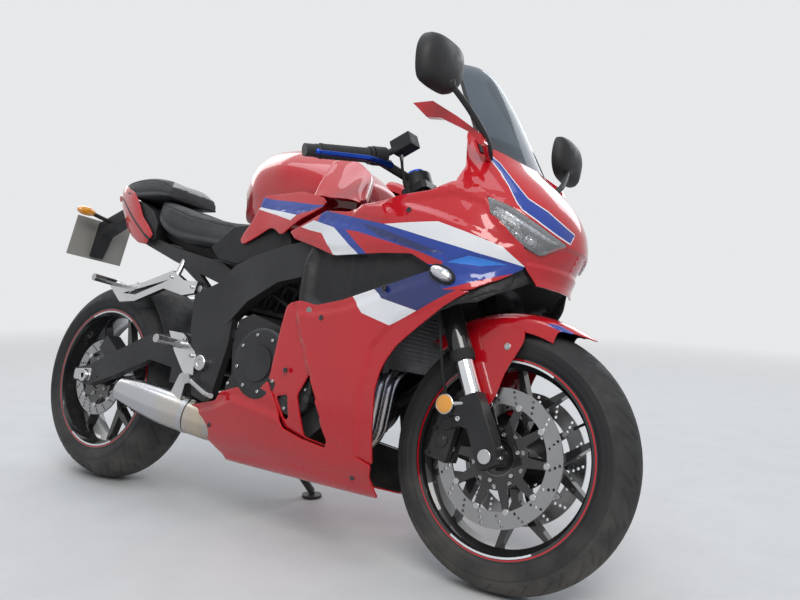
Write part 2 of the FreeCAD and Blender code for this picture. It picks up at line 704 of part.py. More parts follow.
GUARD_INNER = 313.0
GUARD_WALL = 3.0
GUARD_HALF = 75.0
GUARD_DROP = 30.0
guard_face = [(GUARD_HALF, -GUARD_DROP), (GUARD_HALF, 0), (GUARD_HALF * 0.7, 12), (0, 18),
              (-GUARD_HALF * 0.7, 12), (-GUARD_HALF, 0), (-GUARD_HALF, -GUARD_DROP)]
inner_face = [(y * (GUARD_HALF - GUARD_WALL) / GUARD_HALF, z - (GUARD_WALL if abs(y) < GUARD_HALF else 0))
              for y, z in reversed(guard_face)]
section = [Vector(0, y, GUARD_INNER + z) for y, z in guard_face + inner_face]
GUARD_BACK = 46.0
GUARD_FRONT = 30.0
guard_wire = Part.makePolygon(section + section[:1])
guard_wire.rotate(Vector(0, 0, 0), Vector(0, 1, 0), -GUARD_BACK + mm.rake_angle)
guard = Part.Face(guard_wire).revolve(Vector(0, 0, 0), Vector(0, 1, 0), GUARD_BACK + GUARD_FRONT)
# Side plate: (x, z) corners about the front axle of the upright machine.
PLATE = [(-172, 242), (-95, 282), (-20, 296), (30, 290), (34, 262), (-4, 190), (-20, 132),
         (-42, 96), (-66, 92), (-78, 118), (-96, 160)]
plate = prism(PLATE, -GUARD_HALF - 1.5, -GUARD_HALF + 1.5)
plate_post = rod((-40, -GUARD_HALF, 118), (-40, mm.fork_foot_half - mm.fork_spread, 118), 7)
plate = join([plate, plate_post])
plate.rotate(Vector(0, 0, 0), Vector(0, 1, 0), mm.rake_angle)
guard_all = join([guard, plate, mirrored(plate)])
guard_all.translate(Vector(mm.fork_offset, 0, 0))
feature("front_mudguard", guard_all, STEERING)


# Front calipers astride the discs, on lugs behind the fork feet

CALIPER_RADIUS = 140.0
CALIPER_ANGLE = 168.0
CALIPER_LONG = 116.0
CALIPER_TALL = 62.0
CALIPER_HALF = 27.0
DISC_GAP = 4.0
caliper = Part.makeBox(CALIPER_TALL, CALIPER_HALF * 2, CALIPER_LONG,
                       Vector(CALIPER_RADIUS - CALIPER_TALL / 2, -CALIPER_HALF, -CALIPER_LONG / 2))
caliper = caliper.makeFillet(11, [edge for edge in caliper.Edges if abs(edge.tangentAt(0).y) < 0.5
                                  and edge.CenterOfMass.x > CALIPER_RADIUS])
slot_half = mm.disc_thickness / 2 + DISC_GAP
slot = rod((0, -slot_half, 0), (0, slot_half, 0), mm.front_disc_radius + DISC_GAP)
caliper = caliper.cut(slot)
caliper.rotate(Vector(0, 0, 0), Vector(0, 1, 0), -CALIPER_ANGLE + mm.rake_angle)
caliper.translate(Vector(mm.fork_offset, -mm.front_disc_plane, 0))
slot_moved = slot.translated(Vector(mm.fork_offset, -mm.front_disc_plane, 0))
# A lug on the caliper meets the flat at the back of the fork foot.
LUG_FACE = mm.fork_offset - mm.fork_outer_radius - 22
caliper_lug = Part.makeBox(30, 16, 28, Vector(LUG_FACE - 30, 10 - mm.fork_spread, 88))
caliper = join([caliper, caliper_lug.cut(slot_moved)])
feature("front_calipers", pair(caliper), STEERING)


# Frame: head tube, two spars over the engine, pivot plates and cross tubes

# Columns: x, inner y, outer y, low z, high z of a spar's section, from the head tube to the pivot plate.
SPAR = [
    (1168, 6, 38, 776, 858),
    (1085, 62, 98, 724, 812),
    (980, 118, 156, 686, 776),
    (900, 134, 170, 668, 764),
    (800, 138, 172, 646, 742),
    (690, 128, 162, 590, 716),
    (610, 118, 150, 520, 690),
    (560, 118, 150, 452, 640),
]


def right_section(x, inner, outer, low, high):
    return [(x, -inner, low), (x, -outer, low), (x, -outer, high), (x, -inner, high)]


head_low = mm.lower_clamp_low + mm.lower_clamp_tall + mm.head_clearance
head_tall = mm.upper_clamp_low - mm.head_clearance - head_low
head_tube = Part.makeCylinder(mm.head_tube_radius, head_tall, STEER_FOOT + UPWARD * head_low, UPWARD)
head_bore = Part.makeCylinder(mm.stem_radius + mm.running_fit, head_tall * 1.2,
                              STEER_FOOT + UPWARD * (head_low - head_tall * 0.1), UPWARD)
PIVOT_PLATE = [(462, 600), (560, 640), (632, 560), (632, 470), (600, 326), (570, 304), (520, 318),
               (500, 400), (470, 500)]
# Columns: x, z, radius of a tube across the frame.
CROSS_TUBES = [(520, 590, 16), (574, 322, 12), (638, 500, 13)]
spar = skin([right_section(*row) for row in SPAR])
pivot_plate = prism(PIVOT_PLATE, -150, -126)
cross_tubes = [rod((x, -140, z), (x, 140, z), radius) for x, z, radius in CROSS_TUBES]
pivot_bolt = rod((mm.pivot_forward, -158, mm.pivot_height), (mm.pivot_forward, 158, mm.pivot_height),
                 mm.pivot_radius)
# Bosses that reach out to the fairing's inner face; columns: x, z.
FRAME_BOSSES = [(1010, 748)]
tank_rest = prism([(930, 730), (960, 745), (960, 800), (930, 800)], -140, 140)
shock_top = prism([(560, 610), (640, 610), (640, 572), (580, 560)], -125, 125)
stand_top = Vector(mm.stand_pivot_x, mm.stand_pivot_y, mm.stand_pivot_z)
stand_axis = Vector(-math.sin(math.radians(mm.stand_axis_back)), math.cos(math.radians(mm.stand_axis_back)), 0)
stand_inner = stand_top - stand_axis * (mm.stand_lug_long / 2 + 0.4)
stand_outer = stand_top + stand_axis * (mm.stand_lug_long / 2 + 0.4)
stand_bracket = join([prism([(520, 318), (548, 332), (600, 332), (590, 262), (560, 240), (530, 262)], 84, 100),
                      rod(stand_inner - stand_axis * 20, stand_inner, mm.stand_lug_radius - 1),
                      rod(stand_inner - stand_axis * 20, stand_outer + stand_axis * 2, mm.stand_pivot_radius),
                      rod(stand_outer, stand_outer + stand_axis * 5, mm.stand_pivot_radius * 1.8)])
frame_solid = join([head_tube, spar, mirrored(spar), pivot_plate, mirrored(pivot_plate)] + cross_tubes
                   + [shock_top, tank_rest, stand_bracket])
frame_solid = frame_solid.cut(head_bore).cut(pivot_bolt)


# Engine: crankcase, inclined cylinders with their head, and the round covers on its sides

CRANKCASE = [(640, 470), (668, 316), (740, 246), (930, 236), (1000, 300), (1010, 392), (958, 470),
             (860, 520), (700, 560), (650, 540)]
case = prism(CRANKCASE, -mm.case_half, mm.case_half)
CYLINDER_TILT = 30.0
CYLINDER_FOOT = (868.0, 440.0)
cylinder_way = Vector(math.sin(math.radians(CYLINDER_TILT)), 0, math.cos(math.radians(CYLINDER_TILT)))
cylinder_side = Vector(cylinder_way.z, 0, -cylinder_way.x)


def leaning_block(low, high, back, front, half):
    """A block along the cylinders, between two heights along them and two depths across them."""
    foot = Vector(CYLINDER_FOOT[0], 0, CYLINDER_FOOT[1])
    corners = [foot + cylinder_way * along + cylinder_side * across
               for along, across in ((low, back), (low, front), (high, front), (high, back))]
    return prism([(corner.x, corner.z) for corner in corners], -half, half)


FINS = 6
barrel = leaning_block(0, 130, -72, 78, 140)
barrel_ribs = [leaning_block(18 + 19 * index, 24 + 19 * index, -78, 84, 146) for index in range(FINS)]
case_solid = join([case, barrel] + barrel_ribs)
head_block = leaning_block(130, 196, -84, 90, 152)
head_cover = leaning_block(196, 246, -70, 74, 140)
plug_covers = [leaning_block(246, 252, -18, 18, 128)]
head_solid = join([head_block, head_cover] + plug_covers)

# Round covers; columns: x, z, side (-1 right, 1 left), inner y, outer y, radius, rounding.
COVERS = [
    (785, 430, -1, 140, 178, 96, 14),
    (905, 372, -1, 140, 166, 62, 8),
    (700, 352, -1, 140, 160, 44, 6),
    (930, 372, 1, 140, 176, 88, 16),
    (780, 420, 1, 140, 166, 60, 8),
    (655, 405, 1, 140, 158, 30, 6),
]
covers = []
for x, z, side, inner, outer, radius, rounding in COVERS:
    cover = rod((x, side * inner, z), (x, side * outer, z), radius)
    rim = [edge for edge in cover.Edges if abs(abs(edge.BoundBox.YMin) - outer) < 0.1
           and edge.BoundBox.YLength < 0.1]
    cover = cover.makeFillet(rounding, rim)
    boss = rod((x, side * outer, z), (x, side * (outer + 5), z), radius * 0.5)
    covers.append(cover.fuse(boss))
right_covers = join(covers[:3])
left_covers = join(covers[3:])
oil_filter = join([rod((990, -38, 352), (1066, -38, 352), 34), rod((1066, -38, 352), (1072, -38, 352), 22)])
sump = prism([(740, 246), (930, 236), (900, 176), (780, 176)], 2, 95)
sprocket_room = prism([(600, 340), (696, 340), (696, 474), (600, 474)], 84, 118)
head_solid = head_solid.cut(frame_solid)
shaft_boss = rod((mm.chain_front_x, 20, mm.chain_front_z), (mm.chain_front_x, 84, mm.chain_front_z), 36)
case_solid = join([case_solid, sump, right_covers, left_covers, oil_filter, shaft_boss])
case_solid = case_solid.cut(sprocket_room).cut(frame_solid)


# Exhaust: four headers that sweep down and back under the engine, a collector and the silencer

# Columns: y at the cylinder head, y where the pipe runs down, y and z under the engine.
HEADERS = [(-112, -128, -132, 214), (-38, -92, -92, 200), (38, -52, -52, 200), (112, -12, -12, 214)]
PORT = (1020.0, 540.0)
headers = []
for port_y, down_y, under_y, under_z in HEADERS:
    route = [(PORT[0], port_y, PORT[1]), (1070, port_y, 512), (1090, down_y, 430), (1080, down_y, 300),
             (1006, under_y, under_z), (900, under_y * 0.75 - 18, under_z - 4), (806, under_y * 0.3 - 74, 208)]
    headers.append(pipe(route, mm.header_radius, 60))
collector = rod((818, -96, 214), (730, -96, 220), 38)
link_pipe = rod((744, -96, 219), (630, -84, 232), 24)
exhaust = join(headers + [collector, link_pipe])
exhaust = exhaust.cut(case_solid).cut(head_solid)

# Silencer stations; columns: x, y, z, radius.
SILENCER = [(640, -84, 232, 34), (600, -92, 240, 44), (540, -106, 252, 51), (430, -140, 268, 52),
            (330, -166, 286, 45), (258, -182, 298, 34)]


def round_skin(stations):
    """A closed solid through circles that stand square to the line of their centres."""
    rings = []
    for index, (x, y, z, radius) in enumerate(stations):
        before, after = stations[max(index - 1, 0)], stations[min(index + 1, len(stations) - 1)]
        along = (Vector(*after[:3]) - Vector(*before[:3])).normalize()
        rings.append(Part.Wire(Part.makeCircle(radius, Vector(x, y, z), along)))
    return Part.makeLoft(rings, True, True)


outlet_way = (Vector(258, -182, 298) - Vector(330, -166, 286)).normalize()
outlet = rod(Vector(258, -182, 298) - outlet_way * 60, Vector(258, -182, 298) + outlet_way * 4, 20)
silencer = round_skin(SILENCER).cut(outlet).cut(link_pipe)
silencer_lug = prism([(436, 300), (486, 292), (500, 372), (470, 376)], -158, -151)
silencer = join([silencer, silencer_lug])


# Radiator with its side tanks, hung between frame and cylinder head

# Front face from its foot to its top; columns: x, z.
RADIATOR_FRONT = [(1163, 462), (1143, 668)]
RADIATOR_DEEP = 32.0
RADIATOR_FINS = 20
(foot_x, foot_z), (top_x, top_z) = RADIATOR_FRONT
radiator_core = prism([(foot_x - RADIATOR_DEEP, foot_z), (foot_x, foot_z), (top_x, top_z),
                       (top_x - RADIATOR_DEEP, top_z)], -128, 128)
radiator_tank = prism([(foot_x - RADIATOR_DEEP - 4, foot_z - 10), (foot_x + 4, foot_z - 10),
                       (top_x + 4, top_z + 10), (top_x - RADIATOR_DEEP - 4, top_z + 10)], -150, -128)
core_fins = []
for step in range(RADIATOR_FINS):
    share = (step + 0.5) / RADIATOR_FINS
    x, z = foot_x + (top_x - foot_x) * share, foot_z + (top_z - foot_z) * share
    core_fins.append(prism([(x - 2, z - 2), (x + 2.5, z - 2), (x + 2.5, z + 2), (x - 2, z + 2)], -128, 128))
radiator_stays = [rod((1127, y, 668), (1096, y, 742), 8) for y in (-76, 76)]
radiator = join([radiator_core, radiator_tank, mirrored(radiator_tank)] + core_fins + radiator_stays)
feature("radiator", radiator.cut(frame_solid))


# Swingarm, axle, shock absorber

RIGHT_ARM = [(-62, 298), (-62, 334), (8, 350), (110, 396), (280, 470), (440, 486), (486, 470), (486, 380),
             (400, 384), (300, 396), (140, 330), (20, 288)]
LEFT_ARM = [(-62, 296), (-62, 336), (10, 348), (400, 412), (470, 412), (470, 342), (400, 338), (24, 287)]
PIVOT_ARM = [(404, 338), (404, 412), (540, 440), (574, 412), (562, 382), (470, 338)]
ARM_BRIDGE = [(404, 340), (404, 412), (470, 412), (470, 340)]
# The swingarm is drawn with its pivot at this height.
PIVOT_DRAWN = 408.0


def with_pivot(corners):
    """Side-view corners tilted about the axle's place, so that they follow the pivot's height."""
    rise = mm.pivot_height - PIVOT_DRAWN
    return [(x, z + rise * max(0.0, x) / mm.pivot_forward) for x, z in corners]


right_arm = prism(with_pivot(RIGHT_ARM), -138, -108)
left_arm = prism(with_pivot(LEFT_ARM), 120, 146)
arm_bridge = prism(with_pivot(ARM_BRIDGE), -138, 146)
pivot_arms = [prism(with_pivot(PIVOT_ARM), near, near + 27) for near in (-115, 61)]
pivot_tube = rod((mm.pivot_forward, -114, mm.pivot_height), (mm.pivot_forward, 88, mm.pivot_height), 27)
rear_axle_bar = rod((0, -146, mm.rear_tyre_radius), (0, 154, mm.rear_tyre_radius), mm.rear_axle_radius)
swingarm = join([right_arm, left_arm, arm_bridge, pivot_tube] + pivot_arms).cut(frame_solid)
# Threaded holes in the arms' undersides take the bobbins of a workshop stand.
BOBBIN_X = 60.0
BOBBIN_Z = 318.0
bobbin_holes = [rod((BOBBIN_X, y, BOBBIN_Z), (BOBBIN_X, y + 22, BOBBIN_Z), 3.4) for y in (-139, 125)]
for hole in [rear_axle_bar, pivot_bolt] + bobbin_holes:
    swingarm = swingarm.cut(hole)
feature("swingarm", swingarm)
axle_nuts = [rod((0, y, mm.rear_tyre_radius), (0, y + 12, mm.rear_tyre_radius), 19) for y in (-150, 146)]
spacer_right = rod((0, -108, mm.rear_tyre_radius), (0, -mm.rear_hub_right - 1, mm.rear_tyre_radius), 18)
spacer_left = rod((0, mm.chain_line + 7, mm.rear_tyre_radius), (0, 120, mm.rear_tyre_radius), 18)
axle_hollow = rod((0, -170, mm.rear_tyre_radius), (0, 170, mm.rear_tyre_radius), mm.axle_hollow_radius)
feature("rear_axle", join([rear_axle_bar, spacer_right, spacer_left] + axle_nuts).cut(axle_hollow))

(shock_foot_x, shock_foot_z), (shock_top_x, shock_top_z) = with_pivot([(434.0, 410.0), (606.0, 574.0)])
shock_low = Vector(shock_foot_x, 0, shock_foot_z)
shock_high = Vector(shock_top_x, 0, shock_top_z)
shock_way = (shock_high - shock_low).normalize()
shock_long = (shock_high - shock_low).Length
COILS = 5
coil_step = (shock_long - 40) / COILS
shock_rings = [Part.makeTorus(29, 6, shock_low + shock_way * (26 + coil_step * (index + 0.5)), shock_way)
               for index in range(COILS)]
shock = join([rod(shock_low, shock_high, 24)] + shock_rings)
shock = shock.cut(frame_solid).cut(pivot_bolt).cut(swingarm)
feature("shock_absorber", shock)


# Chain: one fixed loop of plates and rollers, and the guard over it

rear_end = Vector(0, 0, mm.rear_tyre_radius)
front_end = Vector(mm.chain_front_x, 0, mm.chain_front_z)
run = front_end - rear_end
tilt = math.atan2(run.z, run.x)
spread = math.acos((mm.chain_pitch_radius - mm.chain_front_radius) / run.Length)


def chain_loop(reach):
    """The loop round both sprockets, at a distance from the chain's middle line."""
    edges = []
    big, small = mm.chain_pitch_radius + reach, mm.chain_front_radius + reach

    def at(middle, radius, angle):
        return middle + Vector(math.cos(angle), 0, math.sin(angle)) * radius

    upper, lower = tilt + spread, tilt - spread
    edges.append(Part.LineSegment(at(rear_end, big, upper), at(front_end, small, upper)).toShape())
    edges.append(Part.Arc(at(front_end, small, tilt + spread), at(front_end, small, tilt),
                          at(front_end, small, tilt - spread)).toShape())
    edges.append(Part.LineSegment(at(front_end, small, lower), at(rear_end, big, lower)).toShape())
    edges.append(Part.Arc(at(rear_end, big, tilt - spread), at(rear_end, big, tilt + math.pi),
                          at(rear_end, big, tilt + spread)).toShape())
    return Part.Wire(edges)


def loop_band(inner, outer, low_y, high_y):
    face = Part.Face(chain_loop(outer)).cut(Part.Face(chain_loop(inner)))
    face.translate(Vector(0, low_y, 0))
    return face.extrude(Vector(0, high_y - low_y, 0))


half_height = mm.chain_height / 2
half_width = mm.chain_width / 2
PLATE_WALL = 4.0
chain_links = [loop_band(-half_height, half_height, mm.chain_line - half_width,
                         mm.chain_line - half_width + PLATE_WALL),
               loop_band(-half_height, half_height, mm.chain_line + half_width - PLATE_WALL,
                         mm.chain_line + half_width),
               loop_band(-4.4, half_height - 1.5, mm.chain_line - half_width + PLATE_WALL,
                         mm.chain_line + half_width - PLATE_WALL)]
chain = join(chain_links)
front_sprocket = rod((mm.chain_front_x, 92, mm.chain_front_z), (mm.chain_front_x, 112, mm.chain_front_z),
                     mm.chain_front_radius - 4)
sprocket_shaft = rod((mm.chain_front_x, 84, mm.chain_front_z), (mm.chain_front_x, 92, mm.chain_front_z), 16)
feature("drive_chain", join([chain, front_sprocket, sprocket_shaft]))


# Fairing: one smooth outer form, from which each panel is cut as a wall of even thickness

# Half width of the fairing at each height, how far forward the form closes there, and how much
# narrower it is one narrowing length behind its fullest place, as a share.
# Columns: height, fullest half width, x of the point where both sides meet, narrowing.
LEVELS = [
    (163, 122, 1700, 0.12),
    (200, 152, 1700, 0.10),
    (270, 178, 1700, 0.08),
    (360, 194, 1700, 0.05),
    (480, 206, 1700, 0.05),
    (600, 218, 1643, 0.08),
    (690, 228, 1528, 0.16),
    (783, 230, 1561, 0.22),
    (870, 216, 1531, 0.22),
    (918, 206, 1487, 0.22),
    (968, 195, 1431, 0.22),
    (1030, 176, 1376, 0.22),
]
FULLEST_X = 1240.0
REAR_X = 430.0
# Stations behind the fullest place, and shares of the way from there to the nose.
BEHIND = [REAR_X, 560.0, 700.0, 840.0, 980.0, 1110.0]
AHEAD_SHARES = [0.0, 0.3, 0.55, 0.75, 0.89, 0.97]
NOSE_HALF = 14.0
NARROWING_LENGTH = 400.0


def flank(half, closing, narrowing, x):
    """Half width at x: narrower towards the rear, and rounded off towards the nose."""
    if x <= FULLEST_X:
        return half * (1 - narrowing * ((FULLEST_X - x) / NARROWING_LENGTH) ** 1.5)
    share = (x - FULLEST_X) / (closing - FULLEST_X)
    return max(NOSE_HALF, half * max(0.0, 1 - share ** 2.5) ** 0.556)


def form_half(x, height):
    """Half width of the form at a place on its side, between two levels."""
    for (low, *lower), (high, *higher) in zip(LEVELS, LEVELS[1:]):
        if low <= height <= high:
            share = (height - low) / (high - low)
            return flank(*lower, x) * (1 - share) + flank(*higher, x) * share
    raise ValueError("height outside the form")


def form(inset):
    """The fairing's outer form, drawn in all round by the inset, as a solid."""
    sections = []
    for index, (level, half, closing, narrowing) in enumerate(LEVELS):
        height = level + inset if index == 0 else level
        side = [(x, flank(half, closing, narrowing, x) - inset) for x in BEHIND]
        for share in AHEAD_SHARES:
            x = FULLEST_X + share * (closing - FULLEST_X)
            y = flank(half, closing, narrowing, x)
            side.append((x - inset * share, y - inset * (1 - 0.4 * share)))
        side.append((closing - inset * 1.4, max(2.0, NOSE_HALF - inset * 0.8)))
        sections.append([(x, -y, height) for x, y in side] + [(x, y, height) for x, y in reversed(side)])
    return skin(sections)


outer_form = form(0)
wall_form = form(mm.panel_wall)
liner_form = form(mm.panel_wall + mm.liner_wall)
shell = outer_form.cut(wall_form)
REACH = 260.0


def right_panel(shell_piece, corners, windows=()):
    """What the shell holds within a side outline, on the right, less its windows."""
    panel = shell_piece.common(prism(corners, -REACH, -NOSE_HALF * 0.5))
    for window in windows:
        panel = panel.cut(prism(window, -REACH, 0))
    return panel


# Side outlines as (x, z) corners, each running round its panel.
LAMP = [(1404, 864), (1449, 849), (1505, 816), (1552, 782), (1514, 746), (1491, 759), (1470, 777),
        (1446, 805), (1419, 825)]
UPPER_SIDE = [(1324, 897), (1397, 878), (1404, 864), (1419, 825), (1446, 805), (1470, 777), (1491, 759),
              (1488, 716), (1451, 683), (1402, 650), (1338, 644), (1316, 690), (1249, 728), (1161, 729),
              (1065, 724), (1018, 728), (924, 747), (844, 771), (783, 790), (725, 828), (735, 862), (961, 828),
              (1035, 825), (1084, 841), (1140, 851), (1186, 862), (1268, 872)]
LOWER_SIDE = [(1402, 650), (1338, 644), (1316, 690), (1229, 660), (1144, 634), (1053, 606), (973, 590),
              (919, 599), (877, 592), (866, 582), (848, 487), (831, 389), (863, 335), (893, 278), (959, 261),
              (1042, 251), (1045, 269), (1182, 233), (1181, 338), (1180, 406), (1190, 448), (1204, 477),
              (1231, 513), (1269, 546), (1339, 604)]
BELLY = [(522, 288), (584, 207), (659, 150), (1130, 150), (1192, 168), (1172, 201), (1182, 233), (1045, 269),
         (1042, 251), (959, 261), (893, 278), (773, 320), (863, 335), (831, 389), (798, 358), (721, 360),
         (651, 339), (629, 312)]
TALL_WINDOW = [(970, 421), (933, 360), (959, 261), (1042, 251)]
SHROUD = [(783, 790), (725, 828), (650, 855), (661, 893), (833, 893), (935, 870), (1020, 860), (1052, 850),
          (1084, 841), (1035, 825), (961, 828), (844, 771)]
# The shroud's upper facet leans in towards the tank; columns: x, z at its foot, y and z at its ridge.
SHROUD_FACET = [(906, 874, 108, 998), (950, 868, 112, 988), (990, 864, 118, 965), (1016, 860, 160, 876)]
NOSE = [(1311, 1028), (1600, 1028), (1600, 684), (1504, 684), (1488, 716), (1491, 759), (1514, 746),
        (1552, 782), (1505, 816), (1449, 849), (1404, 864), (1397, 878), (1324, 897), (1337, 937)]
LINING = [(960, 822), (1140, 848), (1268, 868), (1395, 874), (1484, 722), (1478, 664), (1338, 596), (1262, 534),
          (1215, 600), (1100, 590), (960, 600), (930, 700)]

upper_right = right_panel(shell, UPPER_SIDE)
lower_right = right_panel(shell, LOWER_SIDE, [TALL_WINDOW])
belly_right = right_panel(shell, BELLY)
belly_gap = Part.makeBox(800, 130, 80, Vector(470, -65, 150))
tyre_gap = Part.makeBox(200, 220, 80, Vector(1120, -110, 150))
belly_right = belly_right.cut(belly_gap).cut(tyre_gap).cut(silencer)
# On the left the belly panel is notched round the side stand.
STAND_NOTCH = [(500, 330), (588, 300), (636, 226), (700, 140), (500, 140)]
belly_left = mirrored(belly_right).cut(prism(STAND_NOTCH, 0, REACH))
panels_below = [pair(lower_right), belly_right, belly_left]
tank_shroud = right_panel(shell, SHROUD)
# The upper panel's tail lies over the shroud, so the shroud gives way to it.
tank_shroud = tank_shroud.cut(prism(UPPER_SIDE, -REACH, 0))
facet = skin([[(x, -form_half(x, foot_z), foot_z), (x, -ridge_y, ridge_z), (x, 3.4 - ridge_y, ridge_z - 2.4),
               (x, 3.4 - form_half(x, foot_z), foot_z - 2.4)] for x, foot_z, ridge_y, ridge_z in SHROUD_FACET])
tank_shroud = join([tank_shroud, facet])
lining_shell = wall_form.cut(liner_form)
lining = right_panel(lining_shell, LINING)
nose = shell.common(prism(NOSE, -REACH, REACH))
lamp_body = form(2).cut(form(mm.lamp_depth)).common(prism(LAMP, -REACH, -NOSE_HALF)).cut(lining)


def boss_row(places, near):
    """Round posts from y = near out to the fairing's lining or inner face, on both sides."""
    posts = [rod((x, -near, z), (x, -REACH, z), BOSS_RADIUS).common(wall_form).cut(lining) for x, z in places]
    posts = [min(post.Solids, key=lambda solid: abs(solid.CenterOfMass.y)) for post in posts]
    return posts + [mirrored(post) for post in posts]


BOSS_RADIUS = 9.0
HEAD_BOSSES = [(950, 575)]
CASE_BOSSES = [(972, 360), (850, 300)]
for panel in panels_below:
    case_solid = case_solid.cut(panel)
    exhaust = exhaust.cut(panel)
case_solid = max(case_solid.Solids, key=lambda solid: solid.Volume)
feature("main_frame", join([frame_solid, pivot_bolt] + boss_row(FRAME_BOSSES, 140)))
feature("engine_block", join([case_solid] + boss_row(CASE_BOSSES, mm.case_half - 4)))
feature("cylinder_head", join([head_solid] + boss_row(HEAD_BOSSES, 146)))
feature("exhaust_headers", exhaust)
feature("silencer", silencer)
feature("upper_fairings", pair(upper_right))
feature("lower_fairings", pair(lower_right))
feature("belly_fairings", Part.makeCompound([belly_right, belly_left]))
feature("tank_shrouds", pair(tank_shroud))
feature("fairing_linings", pair(lining))
feature("nose_cowl", nose)
feature("head_lamps", pair(lamp_body))


# Windscreen: a curved sheet that rises from the nose

# Columns: x and z at the middle, then x, half width and z at the edge.
SCREEN = [
    (1440, 950, 1352, 158, 978),
    (1382, 1050, 1304, 146, 1070),
    (1324, 1146, 1252, 124, 1158),
    (1264, 1226, 1212, 90, 1226),
    (1238, 1248, 1206, 62, 1246),
]
SCREEN_SPANS = 12


def screen_line(middle_x, middle_z, edge_x, edge_half, edge_z, inset):
    """One line across the sheet, bowed back to its edges with the square of the distance out."""
    back = Vector(edge_x - middle_x, 0, edge_z - middle_z)
    length = back.Length
    back.normalize()
    line = []
    for step in range(SCREEN_SPANS + 1):
        share = 2 * step / SCREEN_SPANS - 1
        depth = length * share ** 2 + inset * (1 - 0.45 * share ** 2)
        line.append((middle_x + back.x * depth, (edge_half - inset * 0.6) * share, middle_z + back.z * depth))
    return line


screen = skin([screen_line(*row, 0) + screen_line(*row, mm.screen_wall)[::-1] for row in SCREEN])
feature("windscreen", screen.cut(outer_form))


# Fuel tank stations; columns: x, low z, top z, half width at the foot, at the fullest, at the shoulder.
TANK = [
    (508, 842, 1000, 40, 62, 34),
    (560, 822, 1040, 58, 98, 52),
    (640, 806, 1052, 74, 128, 70),
    (740, 792, 1044, 108, 146, 84),
    (840, 790, 1020, 120, 146, 84),
    (920, 800, 982, 112, 132, 76),
    (968, 812, 946, 92, 104, 62),
]


def tank_section(x, low, top, foot_half, full_half, shoulder_half):
    tall = top - low
    side = [(foot_half, low), (full_half - 6, low + tall * 0.34), (full_half, low + tall * 0.56),
            (full_half - 14, low + tall * 0.76), (shoulder_half, low + tall * 0.93), (shoulder_half * 0.4, top)]
    return [(x, -y, z) for y, z in side] + [(x, y, z) for y, z in reversed(side)]


CAP_X = 742.0
tank = skin([tank_section(*row) for row in TANK])
tank = tank.cut(pair(tank_shroud)).cut(pair(upper_right))
cap_top = 1044.0
cap = Part.makeCylinder(mm.cap_radius, 12, Vector(CAP_X, 0, cap_top - 5))
cap_rim = [edge for edge in cap.Edges if abs(edge.CenterOfMass.z - cap_top - 7) < 0.1]
cap = cap.makeFillet(3, cap_rim)
cap_keyhole = rod((CAP_X, 0, cap_top + 3), (CAP_X, 0, cap_top + 10), 9)
cap = cap.cut(cap_keyhole)
feature("fuel_tank", tank.cut(Part.makeCylinder(mm.cap_radius, 40, Vector(CAP_X, 0, cap_top - 5))))
feature("filler_cap", cap)


# Seats

# Rider's seat; columns: x, low z, top z, half width at the foot, half width at the top.
RIDER_SEAT = [
    (150, 866, 906, 78, 70),
    (200, 822, 892, 112, 96),
    (300, 770, 866, 130, 112),
    (400, 756, 842, 126, 106),
    (480, 752, 832, 98, 78),
    (535, 786, 836, 66, 50),
]
PILLION_SEAT = [
    (-108, 948, 966, 46, 38),
    (-60, 930, 976, 72, 60),
    (60, 908, 980, 96, 80),
    (150, 908, 972, 102, 86),
    (196, 908, 950, 98, 82),
]


def seat_section(x, low, top, foot_half, top_half):
    side = [(foot_half * 0.9, low), (foot_half, low + (top - low) * 0.35), (top_half, top - 6),
            (top_half * 0.5, top)]
    return [(x, -y, z) for y, z in side] + [(x, y, z) for y, z in reversed(side)]


rider_seat = skin([seat_section(*row) for row in RIDER_SEAT]).cut(tank)
pillion_seat = skin([seat_section(*row) for row in PILLION_SEAT])
feature("rider_seat", rider_seat.cut(pillion_seat))


# Tail: red side panels that meet behind, the black tray below them, lamp, indicators and plate

TAIL_SIDE = [(-122, 962), (-70, 960), (20, 926), (64, 884), (98, 842), (150, 806), (176, 780), (144, 751),
             (98, 757), (53, 778), (2, 813), (-42, 859), (-83, 892), (-105, 919), (-128, 940)]
# Plan of the tail's outer face; columns: x, half width.
TAIL_PLAN = [(-128, 26), (-108, 52), (-50, 78), (40, 100), (176, 118)]
TAIL_WALL = 10.0
tail_outer = [Vector(x, -y, 700) for x, y in TAIL_PLAN] + [Vector(x, y, 700) for x, y in reversed(TAIL_PLAN)]
inner_line = [(x + (TAIL_WALL if index == 0 else 0), half - TAIL_WALL) for index, (x, half)
              in enumerate(TAIL_PLAN)] + [(200, 108)]
tail_inner = [Vector(x, -y, 700) for x, y in inner_line] + [Vector(x, y, 700) for x, y in reversed(inner_line)]
tail_block = Part.Face(Part.makePolygon(tail_outer + tail_outer[:1])).extrude(Vector(0, 0, 300))
tail_room = Part.Face(Part.makePolygon(tail_inner + tail_inner[:1])).extrude(Vector(0, 0, 300))
tail_ring = tail_block.cut(tail_room)
tail = tail_ring.common(prism(TAIL_SIDE, -140, 140))
feature("pillion_seat", pillion_seat.cut(tail))
TRAY_SIDE = [(-112, 930), (-60, 918), (60, 896), (140, 862), (188, 810), (200, 768), (120, 772), (40, 806),
             (-30, 862), (-80, 900), (-114, 918)]
tray_solid = prism(TRAY_SIDE, -106, 106).cut(tail_ring).cut(pillion_seat).cut(rider_seat)
tray_solid = tray_solid.common(tail_block)
PLATE_TOP = (-254.0, 850.0)
PLATE_TILT = 11.0


def plate_face(z):
    """Where the plate's front face is at a height."""
    return PLATE_TOP[0] - (PLATE_TOP[1] - z) * math.tan(math.radians(PLATE_TILT))


